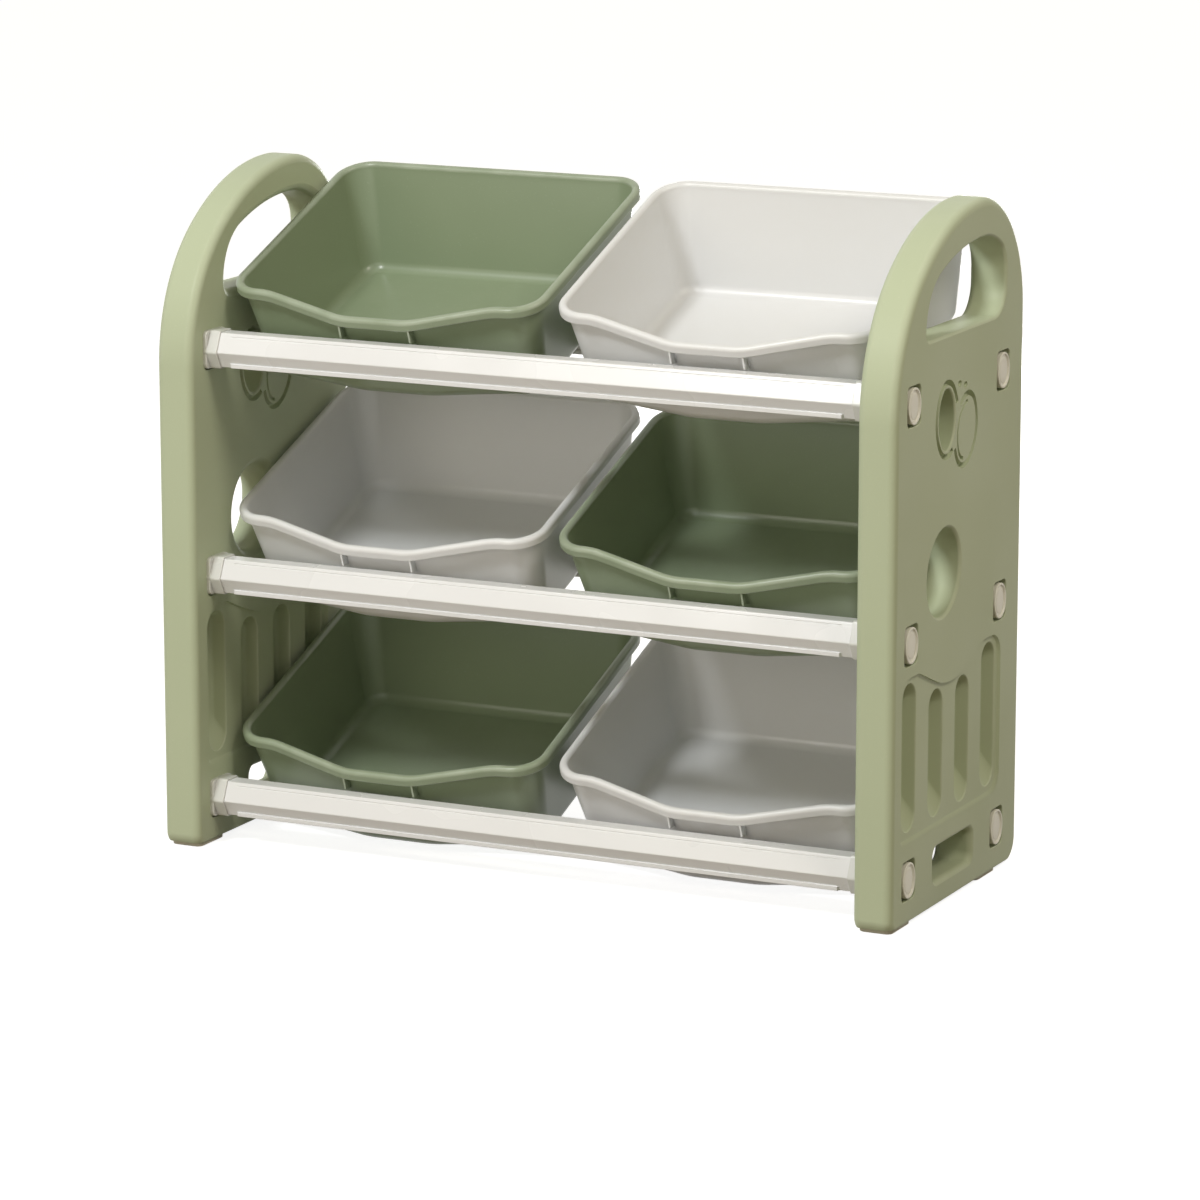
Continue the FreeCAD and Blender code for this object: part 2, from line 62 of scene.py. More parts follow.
panel_low, panel_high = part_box("side_panel_right")
PANEL_INNER = panel_low.x
PANEL_THICKNESS = panel_high.x - panel_low.x
PANEL_FRONT = panel_low.y
PANEL_BACK = panel_high.y
PANEL_TOP = panel_high.z
PANEL_SOLE = panel_low.z
RAIL_BOXES = {(row, tier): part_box("rail_" + row + "_" + tier) for row in ROWS for tier in TIERS}


def rail_place(row):
    low, high = RAIL_BOXES[(row, "bottom")]
    return (low.y + high.y) / 2


def length_prop(label, text, default):
    return FloatProperty(name=label, description=text, default=default, unit="LENGTH")


def angle_prop(label, text, default):
    return FloatProperty(name=label, description=text, default=default, subtype="ANGLE")


def number_prop(label, text, default):
    return FloatProperty(name=label, description=text, default=default)


def colour_prop(label, text, default):
    return FloatVectorProperty(name=label, description=text, default=default, subtype="COLOR")


class PanelSizes(bpy.types.PropertyGroup):
    """Sizes of the side panels' soft edges and relief."""

    edge_radius: length_prop("Edge radius", "Rounding of the panel's rim", 0.0092)
    handle_radius: length_prop("Handle radius", "Rounding at the outer mouth of a big hole", 0.004)
    window_radius: length_prop("Window radius", "Rounding at the inner mouth of a big hole", 0.010)
    mouth_radius: length_prop("Mouth radius", "Rounding at the mouth of a small hole", 0.0024)
    slot_depth: length_prop("Slot depth", "Depth of the fence slots", 0.0188)
    slot_draft: length_prop("Slot draft", "How far a slot's wall leans in", 0.003)
    slot_scoop: length_prop("Slot scoop", "How far a slot's foot slopes up", 0.020)
    fence_depth: length_prop("Fence depth", "Depth of the recess round the slots", 0.003)
    groove_radius: length_prop("Groove radius", "Half the width of the emblem's grooves", 0.003)


class BinSizes(bpy.types.PropertyGroup):
    """Sizes of the bins, in their own tilted frame."""

    tilt: angle_prop("Tilt", "Lean of the bin towards the front", math.atan2(0.090, 0.237))
    lip_bow: length_prop("Lip bow", "How far the lip stands out", 0.019)
    lip_dip: length_prop("Lip dip", "How far the lip dips", 0.0135)
    wall: length_prop("Wall", "Thickness of the wall", 0.0026)
    floor_radius: length_prop("Floor radius", "Rounding between floor and wall", 0.012)


class FittingSizes(bpy.types.PropertyGroup):
    """Sizes of the rails, connectors and caps."""

    line_depth: length_prop("Line depth", "Depth of the fine line along a rail", 0.0005)
    lip_step: length_prop("Lip step", "How far the rail's lip stands out", 0.0016)
    edge_radius: length_prop("Edge radius", "Rounding of the connectors' edges", 0.0012)
    cap_dish: length_prop("Cap dish", "Depth of the dish in a lock cap", 0.0017)


class RackColours(bpy.types.PropertyGroup):
    """Colours of the mouldings, as linear values."""

    panel_green: colour_prop("Panel green", "Side panels", (0.500, 0.562, 0.398))
    bin_green: colour_prop("Bin green", "Green bins", (0.240, 0.298, 0.192))
    bin_white: colour_prop("Bin white", "White bins", (0.715, 0.725, 0.74))
    rail_white: colour_prop("Rail white", "Rails", (0.775, 0.785, 0.805))
    connector_grey: colour_prop("Connector grey", "Rail end connectors", (0.66, 0.67, 0.66))
    cap_grey: colour_prop("Cap grey", "Lock caps", (0.80, 0.79, 0.72))
    foot_green: colour_prop("Foot green", "Foot pads", (0.56, 0.54, 0.44))


class StageSizes(bpy.types.PropertyGroup):
    """Camera and light."""

    azimuth: angle_prop("Azimuth", "Camera's turn round the rack", math.radians(25.78))
    elevation: angle_prop("Elevation", "Camera's angle over the horizon", math.radians(12.06))
    lens: number_prop("Lens", "Focal length in millimetres", 157.67)
    key_power: number_prop("Key power", "Power of the key lamp in watts", 95.0)
    top_power: number_prop("Top power", "Power of the lamp on the right in watts", 32.0)
    fill_power: number_prop("Fill power", "Power of the front fill in watts", 42.0)
    rear_power: number_prop("Rear power", "Power of the lamp behind the rack in watts", 38.0)
    key_colour: colour_prop("Key colour", "Key lamp and rear lamp", (0.97, 0.99, 1.0))
    fill_colour: colour_prop("Fill colour", "Lamp on the right and front fill", (1.0, 0.92, 0.79))
    sky_strength: number_prop("Sky strength", "Strength of the even light", 0.33)
    sky_colour: colour_prop("Sky colour", "Colour of the even light", (1.0, 0.90, 0.67))


# Outlines: points of a closed line and their outward normals, both as rows of two numbers
def arc_outline(arcs, steps=14):
    """Closed anticlockwise outline through arcs given as (centre, radius, first angle, last angle, hollow)."""
    points, normals = [], []
    for centre, radius, first, last, hollow in arcs:
        for angle in np.linspace(first, last, steps + 1):
            ray = np.array((math.cos(angle), math.sin(angle)))
            points.append(np.array(centre) + radius * ray)
            normals.append(-ray if hollow else ray)
    return np.array(points), np.array(normals)


def corner_outline(corners, steps=8):
    """Closed anticlockwise outline of straight runs with rounded corners given as (a, b, radius)."""
    arcs = []
    for index, (a, b, radius) in enumerate(corners):
        before, after = corners[index - 1], corners[(index + 1) % len(corners)]
        run_in = Vector((a - before[0], b - before[1])).normalized()
        run_out = Vector((after[0] - a, after[1] - b)).normalized()
        turn = math.atan2(run_in.x * run_out.y - run_in.y * run_out.x, run_in.dot(run_out))
        side = 1 if turn > 0 else -1
        start = Vector((a, b)) - run_in * radius * math.tan(abs(turn) / 2)
        centre = start + Vector((-run_in.y, run_in.x)) * radius * side
        first = math.atan2(run_in.y, run_in.x) - side * math.pi / 2
        arcs.append((centre, radius, first, first + turn, side < 0))
    return arc_outline(arcs, steps)


def crown_radius(across, rise, side_radius):
    """Radius of the crown arc of an oval that meets side arcs of a given radius."""
    return (across**2 + rise**2 - 2 * across * side_radius) / (2 * (rise - side_radius))


def oval_outline(a, b, across, rise, side_radius, lean=0.0, steps=14):
    """Closed oval of four arcs, turned anticlockwise by the lean."""
    crown = crown_radius(across, rise, side_radius)
    joint = math.atan2(abs(crown - rise), abs(across - side_radius))
    side_centre, crown_centre = across - side_radius, rise - crown
    points, normals = arc_outline(
        [
            ((side_centre, 0), side_radius, -joint, joint, False),
            ((0, crown_centre), crown, joint, math.pi - joint, False),
            ((-side_centre, 0), side_radius, math.pi - joint, math.pi + joint, False),
            ((0, -crown_centre), crown, math.pi + joint, 2 * math.pi - joint, False),
        ],
        steps,
    )
    turn = np.array(((math.cos(lean), math.sin(lean)), (-math.sin(lean), math.cos(lean))))
    return points @ turn + np.array((a, b)), normals @ turn


def arch_outline(peak, front, back, low, front_corner, rear_corner, brow, nape, steps=18):
    """Outline with a flat foot and an arch; brow and nape are (spring height, rise, side radius)."""
    arcs = [
        ((front + front_corner, low + front_corner), front_corner, math.pi, 1.5 * math.pi, False),
        ((back - rear_corner, low + rear_corner), rear_corner, 1.5 * math.pi, 2 * math.pi, False),
    ]
    spring, rise, radius = nape
    crown = crown_radius(back - peak, rise, radius)
    joint = math.atan2(abs(crown - rise), abs(back - peak - radius))
    arcs.append(((back - radius, spring), radius, 0, joint, False))
    arcs.append(((peak, spring + rise - crown), crown, joint, math.pi / 2, False))
    spring, rise, radius = brow
    crown = crown_radius(peak - front, rise, radius)
    joint = math.pi - math.atan2(abs(crown - rise), abs(peak - front - radius))
    arcs.append(((peak, spring + rise - crown), crown, math.pi / 2, joint, False))
    arcs.append(((front + radius, spring), radius, joint, math.pi, False))
    return arc_outline(arcs, steps)


# Meshes
BEND = "edge_bend"
BROAD_FACE = 4e-4  # square metres
SHARPEST = 0.003  # radius that counts as fully sharp


class Moulding:
    """Vertices and faces of a piece while it is put together."""

    def __init__(self):
        self.points = []
        self.faces = []

    def loft(self, rings, capped=True, looped=False):
        """Skin over equal closed rings, with both ends closed or the last ring joined to the first."""
        start, count = len(self.points), len(rings[0])
        for ring in rings:
            self.points.extend(tuple(point) for point in ring)
        for row in range(len(rings) if looped else len(rings) - 1):
            near, far = start + row * count, start + (row + 1) % len(rings) * count
            for index in range(count):
                after = (index + 1) % count
                self.faces.append((near + index, near + after, far + after, far + index))
        if capped and not looped:
            last = start + (len(rings) - 1) * count
            self.faces.append(tuple(range(start + count - 1, start - 1, -1)))
            self.faces.append(tuple(range(last, last + count)))

    def mesh(self, name):
        """The finished mesh, its doubled points merged and its faces turned outwards."""
        mesh = bpy.data.meshes.new(name)
        mesh.from_pydata(self.points, [], self.faces)
        work = bmesh.new()
        work.from_mesh(mesh)
        bmesh.ops.remove_doubles(work, verts=work.verts, dist=1e-6)
        bmesh.ops.dissolve_degenerate(work, edges=work.edges, dist=1e-6)
        bmesh.ops.recalc_face_normals(work, faces=work.faces)
        work.to_mesh(mesh)
        work.free()
        return mesh


def linked(name, mesh):
    piece = bpy.data.objects.new(name, mesh)
    bpy.context.scene.collection.objects.link(piece)
    return piece


def mirrored_mesh(mesh, name):
    """The mesh seen in a mirror at x = 0."""
    copy = mesh.copy()
    copy.name = name
    work = bmesh.new()
    work.from_mesh(copy)
    for vertex in work.verts:
        vertex.co.x = -vertex.co.x
    bmesh.ops.reverse_faces(work, faces=work.faces)
    work.to_mesh(copy)
    work.free()
    return copy


def cut_mesh(name, body, cutters):
    """The body's mesh after each cutter mesh has been taken out of it in turn."""
    piece = linked(name, body)
    tools = [linked(name + "_cutter", cutter) for cutter in cutters]
    for tool in tools:
        cut = piece.modifiers.new("cut", "BOOLEAN")
        cut.operation = "DIFFERENCE"
        cut.solver = "EXACT"
        cut.object = tool
    bpy.context.view_layer.update()
    result = bpy.data.meshes.new_from_object(piece.evaluated_get(bpy.context.evaluated_depsgraph_get()))
    for used in tools + [piece]:
        bpy.data.objects.remove(used)
    if not result.polygons:
        raise RuntimeError("the cuts left nothing of " + name)
    return result


def smoothed(mesh, angle):
    """Smooth shading up to an angle, with flat faces kept flat."""
    mesh.shade_smooth()
    mesh.set_sharp_from_angle(angle=math.radians(angle))


def bend_of(edge):
    """One over the radius of the rounding that a convex edge belongs to."""
    if not edge.is_manifold:
        return 0.0
    width = sum(face.calc_area() for face in edge.link_faces) / (2 * edge.calc_length())
    return max(edge.calc_face_angle_signed(0.0), 0.0) / max(width, 1e-5)


def marked_bends(mesh):
    """Stores how sharply the surface bends outwards at each face corner; broad flat faces get none."""
    work = bmesh.new()
    work.from_mesh(mesh)
    layer = work.loops.layers.float.new(BEND)
    broad = {face.index for face in work.faces if face.calc_area() > BROAD_FACE}
    bends = {}
    for vertex in work.verts:
        flat = any(face.index in broad for face in vertex.link_faces)
        sharpest = max(map(bend_of, vertex.link_edges), default=0.0)
        bends[vertex] = 0.0 if flat else min(sharpest * SHARPEST, 1.0)
    for face in work.faces:
        for loop in face.loops:
            loop[layer] = 0.0 if face.index in broad else bends[loop.vert]
    work.to_mesh(mesh)
    work.free()


def placed(name, mesh, body, material, slot, *nodes):
    """Shows a mesh in place of its nodes, riding on their body."""
    mesh.name = name
    mesh.materials.clear()
    mesh.materials.append(material)
    if BEND not in mesh.attributes:
        marked_bends(mesh)
    piece = linked(name, mesh)
    even = piece.modifiers.new("even shading", "WEIGHTED_NORMAL")
    even.keep_sharp = True
    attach(piece, body)
    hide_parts(*nodes)
    return piece


def upright_ring(x, outline, offset=0.0):
    """Ring of an outline in y and z at a given x, moved out by the offset."""
    points, normals = outline
    moved = points + normals * offset
    return [(x, y, z) for y, z in moved]


def quarter(steps):
    """Angles from zero to a right angle."""
    return [math.pi / 2 * step / steps for step in range(steps + 1)]


# Materials
def socket_group(name, inputs, outputs):
    """Empty shader node group with named sockets given as (name, type, default)."""
    group = bpy.data.node_groups.new(name, "ShaderNodeTree")
    for label, kind, default in inputs:
        socket = group.interface.new_socket(label, in_out="INPUT", socket_type=kind)
        socket.default_value = default
    for label, kind in outputs:
        group.interface.new_socket(label, in_out="OUTPUT", socket_type=kind)
    return group, group.nodes.new("NodeGroupInput"), group.nodes.new("NodeGroupOutput")


def fed(tree, value, socket):
    """Sets a socket to a value, or links it where the value is a socket itself."""
    if isinstance(value, bpy.types.NodeSocket):
        tree.links.new(value, socket)
    else:
        socket.default_value = value


def noise(tree, scale, detail, roughness=0.5):
    """Noise over the piece's own coordinates."""
    place = tree.nodes.new("ShaderNodeTexCoord")
    texture = tree.nodes.new("ShaderNodeTexNoise")
    texture.inputs["Detail"].default_value = detail
    texture.inputs["Roughness"].default_value = roughness
    tree.links.new(place.outputs["Object"], texture.inputs["Vector"])
    fed(tree, scale, texture.inputs["Scale"])
    return texture.outputs["Fac"]


def ranged(tree, value, low, high, out_low, out_high):
    """Value mapped smoothly from one range to another; the ends may be sockets."""
    node = tree.nodes.new("ShaderNodeMapRange")
    node.interpolation_type = "SMOOTHSTEP"
    tree.links.new(value, node.inputs["Value"])
    for label, end in (("From Min", low), ("From Max", high), ("To Min", out_low), ("To Max", out_high)):
        fed(tree, end, node.inputs[label])
    return node.outputs["Result"]


def math_node(tree, operation, first, second):
    node = tree.nodes.new("ShaderNodeMath")
    node.operation = operation
    fed(tree, first, node.inputs[0])
    fed(tree, second, node.inputs[1])
    return node.outputs[0]


def mixed_colour(tree, factor, first, second, blend="MIX"):
    node = tree.nodes.new("ShaderNodeMix")
    node.data_type = "RGBA"
    node.blend_type = blend
    for label, value in (("Factor", factor), ("A", first), ("B", second)):
        kind = "VALUE" if label == "Factor" else "RGBA"
        fed(tree, value, next(s for s in node.inputs if s.name == label and s.type == kind))
    return next(s for s in node.outputs if s.type == "RGBA")


def grain_group():
    """Fine moulded grain as a height, and the patchy gloss that goes with it."""
    group, entry, leave = socket_group(
        "Moulded grain",
        [
            ("Grain Scale", "NodeSocketFloat", 900.0),
            ("Gloss Low", "NodeSocketFloat", 0.35),
            ("Gloss High", "NodeSocketFloat", 0.5),
        ],
        [("Height", "NodeSocketFloat"), ("Roughness", "NodeSocketFloat")],
    )
    fine = noise(group, entry.outputs["Grain Scale"], 3.0, 0.6)
    swell = noise(group, 22.0, 2.0)
    fine_share, swell_share = math_node(group, "MULTIPLY", fine, 0.35), math_node(group, "MULTIPLY", swell, 0.65)
    height = math_node(group, "ADD", fine_share, swell_share)
    group.links.new(height, leave.inputs["Height"])
    patches = noise(group, 9.0, 2.0, 0.5)
    gloss = ranged(group, patches, 0.3, 0.7, entry.outputs["Gloss Low"], entry.outputs["Gloss High"])
    group.links.new(gloss, leave.inputs["Roughness"])
    return group


def tint_group():
    """Slow change of shade across a moulding, with faint pale specks."""
    group, entry, leave = socket_group(
        "Moulding tint",
        [("Colour", "NodeSocketColor", (0.5, 0.5, 0.5, 1.0)), ("Amount", "NodeSocketFloat", 0.06)],
        [("Colour", "NodeSocketColor")],
    )
    patches = noise(group, 4.0, 2.0, 0.5)
    shade = ranged(group, patches, 0.25, 0.75, 0.0, entry.outputs["Amount"])
    darker = mixed_colour(group, shade, entry.outputs["Colour"], (0.30, 0.30, 0.22, 1.0), "MULTIPLY")
    specks = ranged(group, noise(group, 420.0, 2.0), 0.62, 0.8, 0.0, entry.outputs["Amount"])
    lighter = mixed_colour(group, specks, darker, (1.0, 1.0, 0.96, 1.0))
    group.links.new(lighter, leave.inputs["Colour"])
    return group


def wear_group():
    """Rubbed edges and dust: masks from the bend of the surface and from the way it faces."""
    group, entry, leave = socket_group(
        "Rubbed edges",
        [
            ("Colour", "NodeSocketColor", (0.5, 0.5, 0.5, 1.0)),
            ("Rub", "NodeSocketFloat", 0.2),
            ("Dust", "NodeSocketFloat", 0.1),
        ],
        [("Colour", "NodeSocketColor"), ("Mask", "NodeSocketFloat")],
    )
    shape = group.nodes.new("ShaderNodeNewGeometry")
    bend = group.nodes.new("ShaderNodeAttribute")
    bend.attribute_name = BEND
    broken = ranged(group, noise(group, 26.0, 2.0), 0.3, 0.7, 0.35, 1.0)
    worn = math_node(group, "MULTIPLY", bend.outputs["Fac"], broken)
    rub = math_node(group, "MULTIPLY", worn, entry.outputs["Rub"])
    rubbed = mixed_colour(group, rub, entry.outputs["Colour"], (0.92, 0.93, 0.88, 1.0))
    facing = group.nodes.new("ShaderNodeSeparateXYZ")
    group.links.new(shape.outputs["Normal"], facing.inputs["Vector"])
    upward = ranged(group, facing.outputs["Z"], 0.75, 1.0, 0.0, 1.0)
    patches = ranged(group, noise(group, 30.0, 3.0, 0.6), 0.35, 0.8, 0.0, 1.0)
    settled = math_node(group, "MULTIPLY", upward, patches)
    dust = math_node(group, "MULTIPLY", settled, entry.outputs["Dust"])
    dusty = mixed_colour(group, dust, rubbed, (0.78, 0.76, 0.70, 1.0))
    group.links.new(dusty, leave.inputs["Colour"])
    group.links.new(math_node(group, "MAXIMUM", rub, dust), leave.inputs["Mask"])
    return group


def shared_group(name, maker):
    return bpy.data.node_groups.get(name) or maker()


def moulded_plastic(
    name, colour, gloss, grain_scale=900.0, bump=0.12, rub=0.15, dust=0.08, tint=0.06, coat=0.0, shine=0.5
):
    """Plastic with tint, grain, rubbed edges and dust; gloss is the (low, high) roughness."""
    known = bpy.data.materials.get(name)
    if known:
        return known
    material = bpy.data.materials.new(name)
    material.use_nodes = True
    tree = material.node_tree
    shader = tree.nodes["Principled BSDF"]
    groups = {}
    makers = {"Moulded grain": grain_group, "Moulding tint": tint_group, "Rubbed edges": wear_group}
    for label, maker in makers.items():
        groups[label] = tree.nodes.new("ShaderNodeGroup")
        groups[label].node_tree = shared_group(label, maker)
    shades = groups["Moulding tint"]
    shades.inputs["Colour"].default_value = (*colour, 1.0)
    shades.inputs["Amount"].default_value = tint
    wear = groups["Rubbed edges"]
    wear.inputs["Rub"].default_value = rub
    wear.inputs["Dust"].default_value = dust
    tree.links.new(shades.outputs["Colour"], wear.inputs["Colour"])
    tree.links.new(wear.outputs["Colour"], shader.inputs["Base Color"])
    grain = groups["Moulded grain"]
    grain.inputs["Grain Scale"].default_value = grain_scale
    grain.inputs["Gloss Low"].default_value, grain.inputs["Gloss High"].default_value = gloss
    dulled = math_node(tree, "MULTIPLY", wear.outputs["Mask"], 0.3)
    rough = math_node(tree, "ADD", grain.outputs["Roughness"], dulled)
    tree.links.new(rough, shader.inputs["Roughness"])
    relief = tree.nodes.new("ShaderNodeBump")
    relief.inputs["Strength"].default_value = bump
    relief.inputs["Distance"].default_value = 0.0008
    tree.links.new(grain.outputs["Height"], relief.inputs["Height"])
    tree.links.new(relief.outputs["Normal"], shader.inputs["Normal"])
    shader.inputs["IOR"].default_value = 1.49
    shader.inputs["Specular IOR Level"].default_value = shine
    shader.inputs["Coat Weight"].default_value = coat
    shader.inputs["Coat Roughness"].default_value = 0.15
    return material


RAIL = {"rise": 0.020, "drop": 0.016, "flat": 0.020, "depth": 0.038}

# Side panel, made for the right-hand side with its inner face at PANEL_INNER
ARCH = {"peak_setback": 0.228, "toe_drop": 0.006, "front_toe": 0.016, "rear_toe": 0.028}
BROW = {"rise": 0.197, "radius": 0.180}
NAPE = {"rise": 0.124, "radius": 0.130}
HANDLE = {"sill": 0.585, "bar": 0.038, "front_bar": 0.076, "rear_bar": 0.053}
HANDLE_BENDS = {"front": 0.010, "rear": 0.032, "brow": 0.060, "nape": 0.034, "brow_foot": 0.010, "nape_drop": 0.041}
WINDOW = {"setback": 0.130, "height": 0.346, "across": 0.0425, "rise": 0.0465, "side_radius": 0.049}
WINDOW_LEAN = math.radians(-38)
LOW_WINDOW = {"setback": 0.164, "height": 0.046, "width": 0.112, "drop": 0.044, "radius": 0.014}
OPEN_LOBE = {"setback": 0.1325, "height": 0.5005, "across": 0.0205, "rise": 0.030, "side_radius": 0.038}
CLOSED_LOBE = {"setback": 0.1820, "height": 0.4835, "across": 0.0285, "rise": 0.0370, "side_radius": 0.0420}
CLOSED_LEAN = math.radians(-20)
SLOT = {"width": 0.036, "pitch": 0.0704, "setback": 0.049, "foot": 0.097}
SLOT_HEADS = (0.248, 0.228, 0.228, 0.248)
FENCE = {"margin": 0.007, "hump": 0.006, "sag": 0.034, "foot_bevel": 0.0050, "rear_bevel": 0.0022, "draft": 0.0005}
FENCE_BENDS = {"front_foot": 0.010, "rear_foot": 0.022, "shoulder": 0.024, "hump": 0.020, "sag": 0.120}
DIMPLE = {"across": 0.0050, "rise": 0.0034, "side_radius": 0.0026, "shrink": 0.0030, "depth": 0.0036, "sweep": 1.4}
DIMPLE_PLACES = ((0.1645, 0.5322), (0.1802, 0.5288))
EMBLEM_MARGIN = 0.0075
GROOVE_STEEPNESS = 1.8
SOCKET = {"width": 0.035, "height": 0.041, "radius": 0.0065}
SOCKET_MOUTH = (0.0013, 0.0013)
LOW_MOUTH = (0.0060, 0.0080)
HOLE_EASE = {"handle": -0.001, "low_window": -0.0045, "open_lobe": 0.001}
SKIM = 0.0002
PAST = 0.006


def panel_outline():
    return arch_outline(
        PANEL_FRONT + ARCH["peak_setback"],
        PANEL_FRONT,
        PANEL_BACK,
        PANEL_SOLE - ARCH["toe_drop"],
        ARCH["front_toe"],
        ARCH["rear_toe"],
        (PANEL_TOP - BROW["rise"], BROW["rise"], BROW["radius"]),
        (PANEL_TOP - NAPE["rise"], NAPE["rise"], NAPE["radius"]),
    )


def handle_outline():
    sill, crown = HANDLE["sill"], PANEL_TOP - HANDLE["bar"]
    brow_foot, nape_foot = sill + HANDLE_BENDS["brow_foot"], crown - HANDLE_BENDS["nape_drop"]
    return arch_outline(
        PANEL_FRONT + ARCH["peak_setback"],
        PANEL_FRONT + HANDLE["front_bar"],
        PANEL_BACK - HANDLE["rear_bar"],
        sill,
        HANDLE_BENDS["front"],
        HANDLE_BENDS["rear"],
        (brow_foot, crown - brow_foot, HANDLE_BENDS["brow"]),
        (nape_foot, crown - nape_foot, HANDLE_BENDS["nape"]),
        12,
    )


def oval_place(oval, lean=0.0, steps=14):
    place = PANEL_FRONT + oval["setback"], oval["height"]
    return oval_outline(*place, oval["across"], oval["rise"], oval["side_radius"], lean, steps)


def box_outline(a, b, width, height, radius):
    half_width, half_height = width / 2, height / 2
    return corner_outline(
        [
            (a - half_width, b - half_height, radius),
            (a + half_width, b - half_height, radius),
            (a + half_width, b + half_height, radius),
            (a - half_width, b + half_height, radius),
        ]
    )


def slot_places():
    """Middle and head of each fence slot."""
    first = PANEL_FRONT + SLOT["setback"]
    return [(first + index * SLOT["pitch"], head) for index, head in enumerate(SLOT_HEADS)]


def slot_outline(middle, head, lift=0.0):
    """Outline of a slot whose foot is lifted."""
    reach = SLOT["width"] / 2
    return arc_outline(
        [
            ((middle, SLOT["foot"] + lift + reach), reach, math.pi, 2 * math.pi, False),
            ((middle, head - reach), reach, 0, math.pi, False),
        ],
        16,
    )


def fence_outline(drop, spread):
    """Recess round the slots, humped over the outer ones, its foot lowered and its rear side moved back."""
    first, last = slot_places()[0][0], slot_places()[-1][0]
    reach, hump, bends = SLOT["width"] / 2 + FENCE["margin"], FENCE["hump"], FENCE_BENDS
    low, high = SLOT["foot"] - FENCE["margin"] - drop, SLOT_HEADS[0] + FENCE["margin"]
    return corner_outline(
        [
            (first - reach, low, bends["front_foot"]),
            (last + reach + spread, low, bends["rear_foot"]),
            (last + reach + spread, high, bends["shoulder"]),
            (last - reach + hump, high, bends["hump"]),
            ((first + last) / 2, high - FENCE["sag"], bends["sag"]),
            (first + reach - hump, high, bends["hump"]),
            (first - reach, high, bends["shoulder"]),
        ],
        12,
    )


def mouth(flare, depth, steps=7):
    """Depths and offsets of a rounded mouth, from outside the face down to the straight wall."""
    rounding = [(depth * (1 - math.cos(a)) - SKIM, flare * (1 - math.sin(a))) for a in quarter(steps)]
    return [(-PAST, flare)] + rounding


def through_cutter(part, outline, throat, inner, outer):
    """Cutter for a hole whose inner and outer mouths are rounded by (width, depth)."""
    far = PANEL_INNER + PANEL_THICKNESS
    rings = [upright_ring(PANEL_INNER + down, outline, throat + out) for down, out in mouth(*inner)]
    rings += [upright_ring(far - down, outline, throat + out) for down, out in reversed(mouth(*outer))]
    part.loft(rings)


def blind_cutter(part, inner_face, run):
    """Cutter for a recess in one face, from rings given as (depth, outline, offset)."""
    rings = []
    for down, outline, offset in run:
        x = PANEL_INNER + down if inner_face else PANEL_INNER + PANEL_THICKNESS - down
        rings.append(upright_ring(x, outline, offset))
    part.loft(rings)


def fence_run(depth):
    """Rings of the fence recess: steep walls, with a wide bevel along the foot and the rear side."""
    steps = ((-PAST, 0.0), (0.0, 0.0), (depth - 0.0005, 0.0), (depth, 0.0007))
    run = []
    for down, inset in steps:
        rise = 1 - down / depth
        outline = fence_outline(FENCE["foot_bevel"] * rise, FENCE["rear_bevel"] * rise)
        run.append((down, outline, FENCE["draft"] * rise - inset))
    return run


def slot_run(sizes, middle, head):
    """Rings of a slot: softened mouth, leaning wall, a foot that slopes up and a rounded floor."""
    start, depth, lip, fillet = sizes.fence_depth, sizes.slot_depth, 0.0020, 0.0060
    steps = [(start + down, out) for down, out in mouth(lip, lip, 5)]
    for angle in quarter(5):
        steps.append(
            (depth - fillet * (1 - math.sin(angle)), -sizes.slot_draft - fillet * (1 - math.cos(angle)))
        )
    run = []
    for down, offset in steps:
        share = max(down - start - lip, 0.0) / (depth - start - lip)
        run.append((down, slot_outline(middle, head, sizes.slot_scoop * share), offset))
    return run


def groove_cutter(part, path, normals, x, radius, looped):
    """Groove of oval section along a path on a face."""
    rings = []
    for (y, z), (out_y, out_z) in zip(path, normals):
        ring = []
        for angle in np.linspace(0, 2 * math.pi, 10, endpoint=False):
            reach = radius * math.cos(angle)
            ring.append((x + GROOVE_STEEPNESS * radius * math.sin(angle), y + out_y * reach, z + out_z * reach))
        rings.append(ring)
    part.loft(rings, capped=not looped, looped=looped)


def distinct(path, normals):
    """Path without points that fall together."""
    keep = [index for index in range(len(path)) if np.linalg.norm(path[index] - path[index - 1]) > 1e-5]
    return path[keep], normals[keep]


def clear_of(path, oval, lean, grow):
    """Which points of a path lie outside an oval that is grown all round."""
    turned = path - np.array((PANEL_FRONT + oval["setback"], oval["height"]))
    turned = turned @ np.array(((math.cos(lean), -math.sin(lean)), (math.sin(lean), math.cos(lean))))
    return np.linalg.norm(turned / np.array((oval["across"] + grow, oval["rise"] + grow)), axis=1) > 1


def shown_run(path, normals, shown):
    """The one unbroken stretch of a closed path that is shown."""
    start = next(i for i in range(len(path)) if shown[i] and not shown[i - 1])
    run = [(start + i) % len(path) for i in range(len(path))]
    last = next(i for i in range(len(run)) if not shown[run[i]])
    return path[run[:last]], normals[run[:last]]


